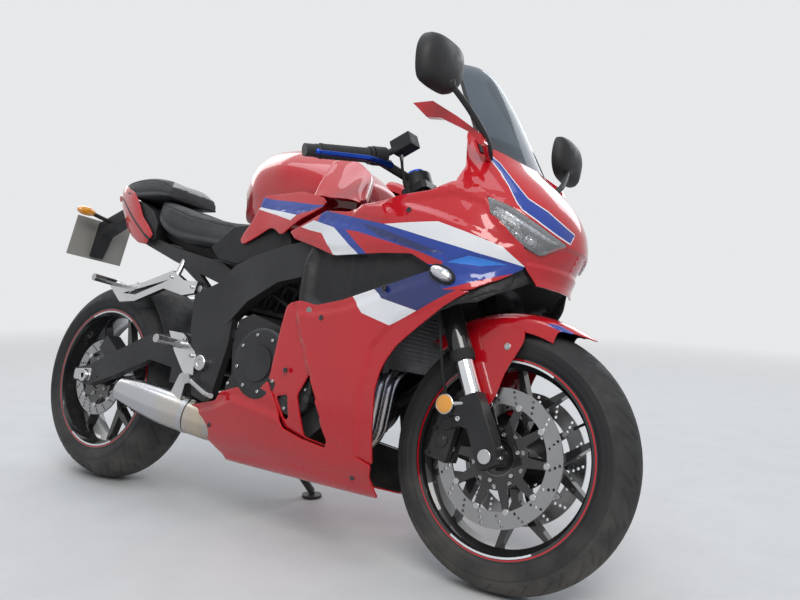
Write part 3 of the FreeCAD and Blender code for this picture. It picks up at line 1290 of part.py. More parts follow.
HANGER_SIDE = [(-70, 910), (-40, 880), (-120, 848), (-226, 800), (plate_face(722) + 14, 718),
               (plate_face(722), 722), (plate_face(842), 842), (-140, 888)]
hanger = prism(HANGER_SIDE, -24, 24)
lamp_bar = prism([(-134, 934), (-112, 930), (-112, 908), (-128, 914)], -46, 46)
tail_tray = join([tray_solid, hanger.cut(tail)]).cut(lamp_bar)
feature("tail_cowl", tail.cut(lamp_bar))
feature("tail_tray", tail_tray)
feature("tail_lamp", lamp_bar)

number_plate = doc.addObject("Part::Box", "number_plate")
for side, alias in (("Length", "plate_wall"), ("Width", "plate_width"), ("Height", "plate_tall")):
    number_plate.setExpression(side, f"Sizes.{alias}")
plate_frame = Placement(Vector(PLATE_TOP[0], -mm.plate_width / 2, PLATE_TOP[1]),
                        Rotation(Vector(0, 1, 0), 180 + PLATE_TILT))
keep(number_plate, "number_plate", CHASSIS.multiply(plate_frame))

INDICATOR_STEM = ((-196, -22, 846), (-198, -96, 858))
indicator_stem = rod(*INDICATOR_STEM, 8)
indicator_head = Part.makeSphere(1.0)
stretch = FreeCAD.Matrix()
stretch.scale(Vector(16, 34, 15))
indicator_head = indicator_head.transformGeometry(stretch)
indicator_head.translate(Vector(-198, -118, 860))
rear_indicator = join([indicator_stem, indicator_head]).cut(hanger)
OVAL_AT = Vector(1342, -224, 676)
oval = Part.makeSphere(1.0)
oval_stretch = FreeCAD.Matrix()
oval_stretch.scale(Vector(32, 20, 14))
oval = oval.transformGeometry(oval_stretch)
oval.translate(OVAL_AT)
front_indicator = oval.cut(outer_form)
feature("indicators", Part.makeCompound([pair(rear_indicator), pair(front_indicator)]))


# Seat rails and the black covers under tank and seat

rail = skin([right_section(*row) for row in (
    (600, 96, 117, 600, 660), (520, 92, 116, 640, 700), (300, 84, 110, 700, 742), (60, 62, 80, 772, 800),
    (-60, 36, 50, 858, 884))])
rail_low = skin([right_section(*row) for row in ((520, 96, 116, 560, 590), (420, 94, 112, 640, 668),
                                                 (310, 88, 106, 700, 724))])
rail_bridges = [rod((x, -92, z), (x, 92, z), 11) for x, z in ((470, 690), (200, 748))]
rails = join([rail, rail_low, mirrored(rail), mirrored(rail_low)] + rail_bridges)
rails = rails.cut(frame_solid).cut(tray_solid).cut(rider_seat).cut(shock).cut(hanger)
feature("seat_rails", rails)
SIDE_COVER = [(478, 742), (560, 806), (640, 812), (728, 812), (783, 786), (792, 748), (692, 722), (600, 696),
              (520, 706)]
side_cover = prism(SIDE_COVER, -136, -98)
side_cover = side_cover.cut(frame_solid).cut(rails).cut(tank).cut(rider_seat).cut(pair(tank_shroud))
side_cover = side_cover.cut(pair(upper_right))
feature("side_covers", pair(max(side_cover.Solids, key=lambda solid: solid.Volume)))


# Foot controls: bright plates on the pivot plates, folding pegs and pedals

PEG_PLATE = [(394, 487), (444, 485), (516, 437), (524, 424), (524, 390), (532, 344), (480, 378), (431, 430)]
peg_plate = prism(PEG_PLATE, -162, -150.3)
PEG_AT = (446.0, 452.0)
peg = rod((PEG_AT[0], -162, PEG_AT[1]), (PEG_AT[0] + 4, -248, PEG_AT[1] + 6), 12)
brake_pedal = oval_bar([(520, -170, 360), (600, -176, 330), (650, -196, 326)], 7)
pedal_boss = rod((520, -162, 360), (520, -178, 360), 14)
gear_pedal = oval_bar([(500, 170, 380), (596, 178, 372), (640, 200, 372)], 6)
gear_boss = rod((500, 162, 380), (500, 178, 380), 12)
feature("foot_plates", pair(peg_plate.cut(silencer)))
feature("foot_pedals", Part.makeCompound([join([brake_pedal, pedal_boss]), join([gear_pedal, gear_boss])]))

HANGER_PLATE = [(46, 632), (40, 606), (100, 560), (172, 566), (300, 612), (388, 596), (440, 604), (448, 640),
                (388, 640), (330, 668), (200, 626), (120, 612)]
hanger_plate = prism(HANGER_PLATE, -136, -118)
hanger_window = prism([(110, 588), (170, 586), (290, 628), (318, 640), (200, 610)], -140, -110)
hanger_boss = rod((440, -100, 620), (440, -120, 620), 12)
hanger_strut = rod((330, -118, 652), (336, -104, 706), 9)
pillion_hanger = join([hanger_plate.cut(hanger_window), hanger_boss, hanger_strut]).cut(rails)
feature("pillion_hangers", pair(pillion_hanger))
pillion_peg = rod((62, -136, 618), (60, -214, 622), 11)
feature("foot_pegs", Part.makeCompound([pair(peg.cut(peg_plate)), pair(pillion_peg.cut(pillion_hanger))]))


# Rear brake caliper on its bracket, and the guard over the tyre and chain

REAR_CALIPER_AT = 56.0
rear_caliper = Part.makeBox(52, 50, 92, Vector(82, -mm.rear_disc_plane - 28, -46))
rear_slot = Part.makeCylinder(mm.rear_disc_radius + 3, mm.disc_thickness + 6,
                              Vector(0, -mm.rear_disc_plane - mm.disc_thickness / 2 - 3, 0), Vector(0, 1, 0))
rear_caliper = rear_caliper.cut(rear_slot)
rear_caliper.rotate(Vector(0, 0, 0), Vector(0, 1, 0), -REAR_CALIPER_AT)
rear_caliper.translate(AXLE_REAR)
rear_caliper = rear_caliper.cut(right_arm)
caliper_solid = max(rear_caliper.Solids, key=lambda solid: solid.Volume)
feature("rear_caliper", caliper_solid)
GUARD_RING = 332.0
hugger_face = [Vector(GUARD_RING, -94, 0), Vector(GUARD_RING, 94, 0), Vector(GUARD_RING + 3, 94, 0),
               Vector(GUARD_RING + 3, -94, 0)]
hugger = Part.Face(Part.makePolygon(hugger_face + hugger_face[:1])).revolve(
    Vector(0, 0, 0), Vector(0, 1, 0), -46)
hugger.rotate(Vector(0, 0, 0), Vector(0, 1, 0), -24)
hugger.translate(AXLE_REAR)
HUGGER_FOOT_X = 303.0
hugger_pegs = [rod((HUGGER_FOOT_X, -116, 452), (HUGGER_FOOT_X, -90, 452), 6),
               rod((HUGGER_FOOT_X, 90, 452), (HUGGER_FOOT_X, 130, 452), 6),
               rod((HUGGER_FOOT_X, 128, 457), (HUGGER_FOOT_X, 128, 370), 6)]
feature("rear_hugger", join([hugger] + hugger_pegs).cut(swingarm).cut(shock))


# Instruments and the stay that carries the nose and lamps

STAY = [(1186, 776), (1184, 846), (1296, 872), (1420, 858), (1436, 820), (1300, 806)]
stay = prism(STAY, -30, 30).cut(Part.makeCylinder(mm.head_tube_radius, head_tall, STEER_FOOT
                                                    + UPWARD * head_low, UPWARD))
stay_arms = prism([(1380, 832), (1410, 832), (1420, 858), (1390, 858)], -REACH, REACH).common(wall_form)
meter_post = prism([(1290, 868), (1320, 872), (1316, 972), (1292, 980)], -24, 24)
nose_stay = join([stay, stay_arms, meter_post]).cut(pair(lamp_body)).cut(pair(lining))
feature("nose_stay", max(nose_stay.Solids, key=lambda solid: solid.Volume))
meter = Part.makeBox(26, 150, 84, Vector(-13, -75, -42))
METER_TILT = 22.0
meter.rotate(Vector(0, 0, 0), Vector(0, 1, 0), METER_TILT)
meter.translate(Vector(1300, 0, 1004))
feature("instrument_panel", meter.cut(meter_post))


# Mirrors on stems, and the red blades at their feet

MIRROR_FOOT = (1364.0, -134.0, 960.0)
MIRROR_ELBOW = (1386.0, -212.0, 1000.0)
MIRROR_HEAD = (1352.0, -316.0, 1076.0)
mirror_stem = oval_bar([MIRROR_FOOT, MIRROR_ELBOW, MIRROR_HEAD], 8)
# Head outlines across the machine, seen from behind; columns: forward step, share of the full outline.
MIRROR_OUTLINE = [(-72, -44), (-40, -58), (40, -50), (74, -10), (66, 48), (20, 62), (-50, 52), (-80, 14)]
MIRROR_DEPTH = [(-16, 1.0), (6, 0.94), (22, 0.66), (28, 0.3)]
head = skin([[(step, y * share, z * share) for y, z in MIRROR_OUTLINE] for step, share in MIRROR_DEPTH])
head.translate(Vector(1336, -336, 1112))
mirror = join([mirror_stem, head]).cut(outer_form).cut(screen)
feature("mirrors", pair(max(mirror.Solids, key=lambda solid: solid.Volume)))
BLADE = [(1188, 1084), (1244, 1084), (1316, 1042), (1386, 996), (1398, 974), (1384, 972), (1350, 1004),
         (1275, 1040), (1233, 1046)]
blade_solid = prism(BLADE, -222, -206).cut(mirror_stem)
blade_root = rod((1388, -212, 984), (1366, -130, 952), 6).cut(outer_form).cut(mirror_stem)
feature("mirror_blades", pair(join([blade_solid, blade_root])))


# Front brake hoses, held from the master cylinder down to the calipers

HOSE_RADIUS = 3.5
# Points outside the right fork leg; columns: ahead of the steering axis, across, height along the axis.
HOSE = [(50, -176, 738), (34, -160, 700), (30, -147, 660), (30, -147, 480), (24, -143, 340), (4, -132, 270),
        (-20, -112, 210), (-42, -84, 146)]
hose = pipe(HOSE, HOSE_RADIUS, 60).cut(controls).cut(caliper)
feature("brake_hose", hose, STEERING)


# Side stand

def ground_under(x, y):
    """Height of the floor in the upright machine's frame, under a point beside the wheels."""
    probe = CHASSIS.inverse()
    a = probe.multVec(Vector(0, 0, 0))
    b = probe.multVec(Vector(1, 0, 0))
    c = probe.multVec(Vector(0, 1, 0))
    normal = (b - a).cross(c - a)
    return a.z - (normal.x * (x - a.x) + normal.y * (y - a.y)) / normal.z


floor_way = CHASSIS.Rotation.inverted().multVec(Vector(0, 0, 1))
stand_floor = Vector(mm.stand_foot_x, mm.stand_foot_y, ground_under(mm.stand_foot_x, mm.stand_foot_y))
stand_ankle = stand_floor + floor_way * (mm.stand_foot_tall + 8)
lug_reach = stand_axis * (mm.stand_lug_long / 2)
stand_lug = rod(stand_top - lug_reach, stand_top + lug_reach,
                mm.stand_lug_radius)
stand_bore = rod(stand_top - lug_reach * 4, stand_top + lug_reach * 4, mm.stand_pivot_radius + mm.running_fit)
bolt_head = rod(stand_outer - stand_axis * 0.4, stand_outer + stand_axis * 40, mm.stand_pivot_radius * 1.8 + 3)
stand_leg = rod(stand_top, stand_ankle, mm.stand_leg_radius)
stand_foot = Part.makeCylinder(mm.stand_foot_radius, mm.stand_foot_tall, stand_floor, floor_way)
stand_shin = rod(stand_floor + floor_way * 2, stand_ankle, mm.stand_leg_radius - 2)
stand_arm = join([stand_leg, stand_shin, stand_foot])
inner_clear = rod(stand_inner + stand_axis * 0.4, stand_inner - stand_axis * 30, mm.stand_lug_radius * 1.6)
stand_arm = max(stand_arm.cut(bolt_head).cut(inner_clear).Solids, key=lambda solid: solid.Volume)
feature("side_stand", join([stand_lug, stand_arm]).cut(stand_bore))


# Every piece has to be sound before any of them is written.
doc.recompute()
for item in doc.Objects:
    if "Invalid" in item.State or "Error" in item.State:
        raise RuntimeError(f"{item.Label} did not build: {item.State}")
unsound = [part.Label for part in parts
           if part.Shape.isNull() or not part.Shape.isValid() or not part.Shape.Solids]
if unsound:
    raise RuntimeError(f"no sound solid in {unsound}")
os.makedirs("parts", exist_ok=True)
for part in parts:
    part.Shape.exportStep(f"parts/{part.Label}.step")
whole = Part.makeCompound([part.Shape for part in parts]).optimalBoundingBox(False)
print(f"{len(parts)} pieces, box {whole}")
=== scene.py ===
import bmesh
import bpy
import json
import math
import numpy as np
from mathutils import Matrix, Vector
from mathutils.geometry import delaunay_2d_cdt

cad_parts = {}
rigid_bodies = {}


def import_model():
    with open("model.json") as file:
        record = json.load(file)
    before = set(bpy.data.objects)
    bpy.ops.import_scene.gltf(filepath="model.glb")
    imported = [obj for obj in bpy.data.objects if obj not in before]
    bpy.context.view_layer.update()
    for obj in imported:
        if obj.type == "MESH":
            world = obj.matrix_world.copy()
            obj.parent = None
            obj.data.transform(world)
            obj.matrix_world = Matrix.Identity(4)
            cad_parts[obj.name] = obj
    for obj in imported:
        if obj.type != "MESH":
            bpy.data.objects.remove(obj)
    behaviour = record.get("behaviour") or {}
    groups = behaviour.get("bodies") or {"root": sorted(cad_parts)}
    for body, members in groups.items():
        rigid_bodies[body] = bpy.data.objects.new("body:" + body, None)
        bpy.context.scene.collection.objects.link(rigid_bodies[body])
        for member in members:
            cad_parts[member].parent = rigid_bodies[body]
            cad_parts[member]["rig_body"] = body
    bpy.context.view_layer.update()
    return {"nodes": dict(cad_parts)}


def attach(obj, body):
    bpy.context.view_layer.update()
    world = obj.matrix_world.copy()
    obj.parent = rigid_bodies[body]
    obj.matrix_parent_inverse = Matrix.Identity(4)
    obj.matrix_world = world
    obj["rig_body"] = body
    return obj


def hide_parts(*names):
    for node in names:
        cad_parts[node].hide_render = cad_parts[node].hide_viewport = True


# A sport motorcycle on its side stand. Every shape is worked out in millimetres on the upright
# machine (X forward from the rear axle, Y to the left, Z up) and then leaned onto the stand.

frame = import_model()

WHEELBASE = 1450.0
FRONT_RADIUS, FRONT_HALF, FRONT_DROP, FRONT_RIM_HALF = 300.0, 58.0, 38.0, 50.0
REAR_RADIUS, REAR_HALF, REAR_DROP, REAR_RIM_HALF = 315.0, 88.0, 57.0, 76.0
FRONT_AXLE = np.array([WHEELBASE, 0.0, FRONT_RADIUS])
REAR_AXLE = np.array([0.0, 0.0, REAR_RADIUS])
LEAN = math.radians(12.175)
RAKE = math.radians(25.5)
FORK_OFFSET = 38.0
LEG_SPREAD = 105.0
BOX_MIDDLE = (717.7, -224.8)
AHEAD = np.array([math.cos(RAKE), 0.0, math.sin(RAKE)])
UPWARD = np.array([-math.sin(RAKE), 0.0, math.cos(RAKE)])
STEER_FOOT = FRONT_AXLE - AHEAD * FORK_OFFSET
SIDES = (-1, 1)
FULL_TURN = 2 * math.pi


def crown_radius(half, drop):
    """Radius of a tyre's crown from its half width and how far its edges lie below its top."""
    return (half * half + drop * drop) / (2 * drop)


def tyre_rise(half, drop):
    """How far a leaning tyre settles: crown radius times one less the cosine of the lean."""
    return crown_radius(half, drop) * (1 - math.cos(LEAN))


rear_rise = tyre_rise(REAR_HALF, REAR_DROP)
nose_down = math.asin((rear_rise - tyre_rise(FRONT_HALF, FRONT_DROP)) / WHEELBASE)
LEANED = np.array(Matrix.Rotation(-LEAN, 3, "X") @ Matrix.Rotation(nose_down, 3, "Y"))
STANDS_AT = np.array([-BOX_MIDDLE[0], BOX_MIDDLE[1], rear_rise])


def stand_up(points):
    """Points of the upright machine in mm, leaned and moved to where the row holds them, in metres."""
    return (np.asarray(points, float) @ LEANED.T + STANDS_AT) / 1000.0


def steer_point(ahead, across, up):
    """A point given along the fork: ahead of the steering axis, across, and up it from the axle's height."""
    return STEER_FOOT + AHEAD * ahead + UPWARD * up + np.array([0.0, across, 0.0])


# Pieces and their meshes. A part is a set of points, faces and look numbers, or None for look 0.

def shown(name, mesh, body, flat, nodes):
    """Puts a mesh into the scene, shaded smooth up to an angle, riding on a body."""
    mesh.polygons.foreach_set("use_smooth", np.ones(len(mesh.polygons), bool))
    mesh.set_sharp_from_angle(angle=math.radians(flat))
    thing = bpy.data.objects.new(name, mesh)
    bpy.context.scene.collection.objects.link(thing)
    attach(thing, body)
    if nodes:
        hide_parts(*nodes)
    return thing


def piece(name, part, body, looks, flat=30.0, nodes=()):
    """A piece of the scene from a part that is given on the upright machine."""
    points, faces, slots = part
    mesh = bpy.data.meshes.new(name)
    mesh.from_pydata(stand_up(points).tolist(), [], [list(map(int, face)) for face in faces])
    for surface in looks:
        mesh.materials.append(surface)
    if slots is not None:
        mesh.polygons.foreach_set("material_index", np.asarray(slots, np.int32))
    mesh.update()
    mesh.validate()
    return shown(name, mesh, body, flat, nodes)


def rounded(thing, width, angle=40.0):
    """Rounds the sharp edges of a piece, width in mm."""
    bevel = thing.modifiers.new("rounded", "BEVEL")
    bevel.width = width / 1000.0
    bevel.segments = 2
    bevel.limit_method = "ANGLE"
    bevel.angle_limit = math.radians(angle)
    bevel.harden_normals = False
    return thing


def flipped(faces):
    """Faces with their corners in reverse order."""
    return [list(face)[::-1] for face in faces]


def facing_out(points, faces):
    """The faces, turned over as a set if the closed mesh that they make has a negative volume."""
    points = np.asarray(points, float)
    centre = points.mean(0)
    total = 0.0
    for face in faces:
        corners = points[list(face)] - centre
        normals = np.cross(corners[1:-1], corners[2:])
        total += np.einsum("ij,ij->", normals, np.broadcast_to(corners[0], normals.shape))
    return faces if total > 0 else flipped(faces)


def solid(part):
    """A closed part with its faces outwards."""
    points, faces, slots = part
    return points, facing_out(points, faces), slots


def numbered(part, slot):
    """A part with one look number for all its faces."""
    return part[0], part[1], [slot] * len(part[1])


def gathered(parts):
    """Several parts as one."""
    points, faces, slots, start = [], [], [], 0
    for part_points, part_faces, part_slots in parts:
        points.append(np.asarray(part_points, float))
        faces.extend([[corner + start for corner in face] for face in part_faces])
        slots.extend(list(part_slots) if part_slots is not None else [0] * len(part_faces))
        start += len(part_points)
    return np.vstack(points), faces, slots


def mirrored(part):
    """A part's mirror image on the other side of the machine."""
    points, faces, slots = part
    return np.asarray(points, float) * np.array([1.0, -1.0, 1.0]), flipped(faces), slots


def both_sides(part):
    """A part and its mirror image."""
    return gathered([part, mirrored(part)])


def grid_faces(rows, columns, around=False, along=False):
    """Quads over a grid of rows by columns, closed across the columns (around) or the rows (along)."""
    down = np.arange(rows if along else rows - 1)
    over = np.arange(columns if around else columns - 1)
    first, second = np.meshgrid(down, over, indexing="ij")
    next_row, next_column = (first + 1) % rows, (second + 1) % columns
    return np.stack([first * columns + second, first * columns + next_column,
                     next_row * columns + next_column, next_row * columns + second], -1).reshape(-1, 4)


def closed_rings(rings):
    """A solid part from rings of points, with a face over the first ring and the last."""
    count, sides = rings.shape[:2]
    faces = [list(face) for face in grid_faces(count, sides, around=True)]
    faces += [list(range(sides))[::-1], list(range((count - 1) * sides, count * sides))]
    return solid((rings.reshape(-1, 3), faces, None))


def smooth_run(values, positions, count=None, at=None):
    """A smooth curve through rows of values at rising positions: a cubic whose slope at each row is
    the mean of its neighbours' slopes, flattened where the values turn back."""
    values, positions = np.asarray(values, float), np.asarray(positions, float)
    if at is None:
        at = np.linspace(positions[0], positions[-1], count)
    steps = np.diff(positions)[:, None]
    slopes = np.diff(values, axis=0) / steps
    inner = (slopes[:-1] * steps[1:] + slopes[1:] * steps[:-1]) / (steps[:-1] + steps[1:])
    limit = 2.5 * np.minimum(np.abs(slopes[:-1]), np.abs(slopes[1:]))
    inner = np.where(slopes[:-1] * slopes[1:] > 0, np.clip(inner, -limit, limit), 0.0)
    tangents = np.vstack([slopes[:1], inner, slopes[-1:]])
    at = np.clip(at, positions[0], positions[-1])
    index = np.clip(np.searchsorted(positions, at, side="right") - 1, 0, len(positions) - 2)
    width = steps[index]
    t = ((at - positions[index]) / width[:, 0])[:, None]
    return ((2 * t**3 - 3 * t**2 + 1) * values[index] + (t**3 - 2 * t**2 + t) * width * tangents[index]
            + (3 * t**2 - 2 * t**3) * values[index + 1] + (t**3 - t**2) * width * tangents[index + 1])


def through(points, count, closed=False):
    """A smooth line through points: a Catmull-Rom curve, evenly parted between its points."""
    points = np.asarray(points, float)
    if closed:
        points = np.vstack([points[-1:], points, points[:2]])
    else:
        points = np.vstack([2 * points[0] - points[1], points, 2 * points[-1] - points[-2]])
    spans = len(points) - 3
    at = np.linspace(0, spans, count, endpoint=not closed)
    index = np.minimum(at.astype(int), spans - 1)
    t = (at - index)[:, None]
    a, b, c, d = (points[index + k] for k in range(4))
    return 0.5 * (2 * b + (c - a) * t + (2 * a - 5 * b + 4 * c - d) * t**2 + (3 * b - a - 3 * c + d) * t**3)


def tube(line, radius, sides=12):
    """A round bar along a line of points; the radius may change along it. Each ring stands square to
    the line, turned as little as can be from the ring before."""
    line = np.asarray(line, float)
    radius = np.broadcast_to(np.asarray(radius, float), (len(line),))[:, None, None]
    way = np.gradient(line, axis=0)
    way /= np.linalg.norm(way, axis=1)[:, None]
    side = np.cross(way[0], [0.0, 0.0, 1.0] if abs(way[0][2]) < 0.9 else [1.0, 0.0, 0.0])
    across = []
    for direction in way:
        side = side - direction * np.dot(side, direction)
        side = side / np.linalg.norm(side)
        across.append(side)
    across = np.array(across)
    tops = np.cross(way, across)
    turn = np.linspace(0, FULL_TURN, sides, endpoint=False)
    return closed_rings(line[:, None] + across[:, None] * np.cos(turn)[None, :, None] * radius
                        + tops[:, None] * np.sin(turn)[None, :, None] * radius)


def turned(profile, segments, middle, axis=None, start=0.0, sweep=FULL_TURN):
    """A closed profile of (radius, along) pairs turned round an axis (Y if none is given). Rows
    follow the turn and columns follow the profile."""
    profile = np.asarray(profile, float)
    whole = abs(sweep - FULL_TURN) < 1e-9
    turn = start + np.linspace(0, sweep, segments, endpoint=not whole)
    radius, along = profile[:, 0], profile[:, 1]
    grid = np.zeros((segments, len(profile), 3))
    if axis is None:
        grid[..., 0] = np.cos(turn)[:, None] * radius
        grid[..., 1] = along
        grid[..., 2] = np.sin(turn)[:, None] * radius
    else:
        way = np.asarray(axis, float) / np.linalg.norm(axis)
        side = np.cross(way, [0.0, 1.0, 0.0] if abs(way[1]) < 0.9 else [1.0, 0.0, 0.0])
        side /= np.linalg.norm(side)
        top = np.cross(way, side)
        spokes = side * np.cos(turn)[:, None, None] + top * np.sin(turn)[:, None, None]
        grid[:] = (way * along[:, None])[None] + spokes * radius[None, :, None]
    faces = grid_faces(segments, len(profile), around=True, along=whole)
    return grid.reshape(-1, 3) + np.asarray(middle, float), faces, None


def lathe(profile, segments, middle, axis=None, slot=0):
    """A solid turned right round an axis, with one look number."""
    return numbered(solid(turned(profile, segments, middle, axis)), slot)


# Looks. A shared group gives noise values; every constant is set on a material's own sockets.

def add_node(tree, kind, inputs=(), **settings):
    """A new shader node with values for its inputs and settings."""
    node = tree.nodes.new(kind)
    for key, value in settings.items():
        setattr(node, key, value)
    for key, value in dict(inputs).items():
        node.inputs[key].default_value = value
    return node


def object_noise(tree, scale, detail=4.0, stretch=(1.0, 1.0, 1.0)):
    """A noise value from object coordinates, stretched along the axes."""
    place = add_node(tree, "ShaderNodeTexCoord")
    mapping = add_node(tree, "ShaderNodeMapping", {"Scale": stretch})
    noise = add_node(tree, "ShaderNodeTexNoise", {"Scale": scale, "Detail": detail})
    tree.links.new(place.outputs["Object"], mapping.inputs["Vector"])
    tree.links.new(mapping.outputs["Vector"], noise.inputs["Vector"])
    return noise.outputs["Fac"]


def object_axis(tree, axis):
    """One object coordinate."""
    place = add_node(tree, "ShaderNodeTexCoord")
    parts = add_node(tree, "ShaderNodeSeparateXYZ")
    tree.links.new(place.outputs["Object"], parts.inputs["Vector"])
    return parts.outputs[axis]


def worked(tree, operation, first, second):
    """Two values put together by a mathematical operation."""
    node = add_node(tree, "ShaderNodeMath", operation=operation)
    tree.links.new(first, node.inputs[0])
    tree.links.new(second, node.inputs[1])
    return node.outputs["Value"]


def ranged(tree, value, low, high, start=0.3, end=0.7):
    """A value taken from one range to another."""
    limits = {"From Min": start, "From Max": end, "To Min": low, "To Max": high}
    node = add_node(tree, "ShaderNodeMapRange", limits)
    tree.links.new(value, node.inputs["Value"])
    return node.outputs["Result"]


def wear_group():
    """Cloudy wear, fine grain, small ripples, and dust that lies low on the machine."""
    tree = bpy.data.node_groups.new("wear_and_grain", "ShaderNodeTree")
    for label in ("Clouds", "Grain", "Ripple", "Low dust"):
        tree.interface.new_socket(name=label, in_out="OUTPUT", socket_type="NodeSocketFloat")
    out = tree.nodes.new("NodeGroupOutput")
    for label, scale, detail in (("Clouds", 7.0, 5.0), ("Grain", 900.0, 3.0), ("Ripple", 42.0, 2.0)):
        tree.links.new(object_noise(tree, scale, detail), out.inputs[label])
    fade = ranged(tree, object_axis(tree, "Z"), 1.0, 0.0, 0.05, 0.62)
    tree.links.new(worked(tree, "MULTIPLY", fade, object_noise(tree, 16.0, 6.0)), out.inputs["Low dust"])
    return tree


WEAR = wear_group()
DUST_COLOUR = (0.30, 0.27, 0.23, 1.0)


def blended(tree, factor, first, second):
    """A colour between two, given as colours or sockets, by a factor socket."""
    mix = add_node(tree, "ShaderNodeMix", data_type="RGBA")
    tree.links.new(factor, mix.inputs["Factor"])
    for key, colour in (("A", first), ("B", second)):
        socket = [item for item in mix.inputs if item.name == key and item.type == "RGBA"][0]
        if isinstance(colour, bpy.types.NodeSocket):
            tree.links.new(colour, socket)
        else:
            socket.default_value = colour
    return [item for item in mix.outputs if item.type == "RGBA"][0]


def bumped(tree, surface, height, strength, depth):
    """Gives a surface bumps from a height value."""
    bumps = add_node(tree, "ShaderNodeBump", {"Strength": strength, "Distance": depth})
    tree.links.new(height, bumps.inputs["Height"])
    tree.links.new(bumps.outputs["Normal"], surface.inputs["Normal"])


def joined_shaders(tree, factor, first, second, out):
    """Leads two shaders, mixed by a factor, to an output node."""
    mix = add_node(tree, "ShaderNodeMixShader")
    tree.links.new(factor, mix.inputs["Fac"])
    tree.links.new(first, mix.inputs[1])
    tree.links.new(second, mix.inputs[2])
    tree.links.new(mix.outputs["Shader"], out.inputs["Surface"])


def worn_surface(name, colour, other, rough):
    """A new material, its surface and wear nodes, and its colour: two close ones mixed by clouds.
    The roughness varies with the ripple."""
    material = bpy.data.materials.new(name)
    material.use_nodes = True
    tree = material.node_tree
    surface = tree.nodes["Principled BSDF"]
    wear = add_node(tree, "ShaderNodeGroup", node_tree=WEAR)
    paint = blended(tree, ranged(tree, wear.outputs["Clouds"], 0.0, 1.0), (*colour, 1.0), (*other, 1.0))
    tree.links.new(ranged(tree, wear.outputs["Ripple"], *rough), surface.inputs["Roughness"])
    return material, surface, wear, paint


def look(name, colour, other, rough=(0.3, 0.45), bump=0.05, bump_from="Grain", dust=0.15, depth=0.0006,
         **settings):
    """A painted, moulded or metal surface: a worn surface with fine bumps, and with road dust that
    thickens towards the ground."""
    material, surface, wear, paint = worn_surface(name, colour, other, rough)
    tree = material.node_tree
    dusty = ranged(tree, wear.outputs["Low dust"], 0.0, dust, 0.25, 0.6)
    tree.links.new(blended(tree, dusty, paint, DUST_COLOUR), surface.inputs["Base Color"])
    if bump:
        bumped(tree, surface, wear.outputs[bump_from], bump, depth)
    for key, value in settings.items():
        surface.inputs[key.replace("_", " ")].default_value = value
    return material


def gloss(name, colour, other):
    """Sprayed paint under a clear coat."""
    return look(name, colour, other, (0.26, 0.34), 0.012, "Ripple", 0.03, Specular_IOR_Level=0.18,
                Coat_Weight=1.0, Coat_Roughness=0.025)


RED_PAINT = gloss("red_paint", (0.50, 0.003, 0.010), (0.45, 0.003, 0.009))
WHITE_PAINT = gloss("white_paint", (0.78, 0.79, 0.80), (0.70, 0.71, 0.73))
BLUE_PAINT = gloss("blue_paint", (0.007, 0.042, 0.31), (0.006, 0.036, 0.27))
# A darker copy of the blue paint: painted shade, laid in the upper panels' groove and under the upper panels'
# edge.
BLUE_PAINTED_SHADE = gloss("blue_painted_shade", (0.010, 0.022, 0.13), (0.008, 0.018, 0.11))
# A lighter copy of the blue paint: painted highlight, laid on a small wedge near the front of the upper
# panels.
BLUE_PAINTED_HIGHLIGHT = gloss("blue_painted_highlight", (0.02, 0.20, 0.68), (0.018, 0.17, 0.60))
GLOSS_BLACK = gloss("black_enamel", (0.010, 0.010, 0.011), (0.016, 0.016, 0.017))
SATIN_BLACK = look("satin_black_paint", (0.018, 0.018, 0.019), (0.030, 0.030, 0.031), (0.34, 0.5), 0.08,
                   Specular_IOR_Level=0.3)
PLASTIC = look("black_plastic", (0.014, 0.014, 0.015), (0.024, 0.024, 0.025), (0.45, 0.62), 0.25,
               Specular_IOR_Level=0.28)
PAINTS = [RED_PAINT, WHITE_PAINT, BLUE_PAINT, BLUE_PAINTED_SHADE, BLUE_PAINTED_HIGHLIGHT, PLASTIC]
RUBBER = look("rubber", (0.020, 0.020, 0.021), (0.030, 0.030, 0.030), (0.62, 0.8), 0.3,
              Specular_IOR_Level=0.28)
TYRE_WALL = look("tyre_sidewall", (0.016, 0.016, 0.017), (0.024, 0.024, 0.024), (0.5, 0.66), 0.2, dust=0.12,
                 Specular_IOR_Level=0.3)
TYRE_TREAD = look("tyre_tread", (0.030, 0.030, 0.031), (0.040, 0.040, 0.039), (0.68, 0.86), 0.5, dust=0.2,
                  Specular_IOR_Level=0.3)
CHROME = look("chrome", (0.75, 0.76, 0.78), (0.66, 0.68, 0.70), (0.05, 0.11), 0.01, Metallic=1.0)
POLISHED = look("polished_aluminium", (0.66, 0.66, 0.67), (0.56, 0.56, 0.57), (0.16, 0.27), 0.05,
                Metallic=1.0)
CAST_GREY = look("cast_grey_metal", (0.20, 0.20, 0.205), (0.28, 0.28, 0.285), (0.42, 0.58), 0.35,
                 Metallic=0.85)
STEEL = look("bright_steel", (0.52, 0.52, 0.53), (0.42, 0.42, 0.43), (0.22, 0.36), 0.08, Metallic=1.0)
DISC_STEEL = look("disc_steel", (0.34, 0.34, 0.345), (0.27, 0.27, 0.275), (0.26, 0.38), 0.1, Metallic=1.0)
ENGINE_BLACK = look("engine_black", (0.026, 0.026, 0.027), (0.042, 0.042, 0.043), (0.36, 0.5), 0.3,
                    Metallic=0.3, Specular_IOR_Level=0.3)
FIN_METAL = look("radiator_aluminium", (0.10, 0.10, 0.105), (0.17, 0.17, 0.175), (0.4, 0.6), 0.3,
                 Metallic=0.7)
CHAIN_STEEL = look("chain_steel", (0.22, 0.19, 0.15), (0.33, 0.29, 0.23), (0.3, 0.46), 0.2, Metallic=1.0)
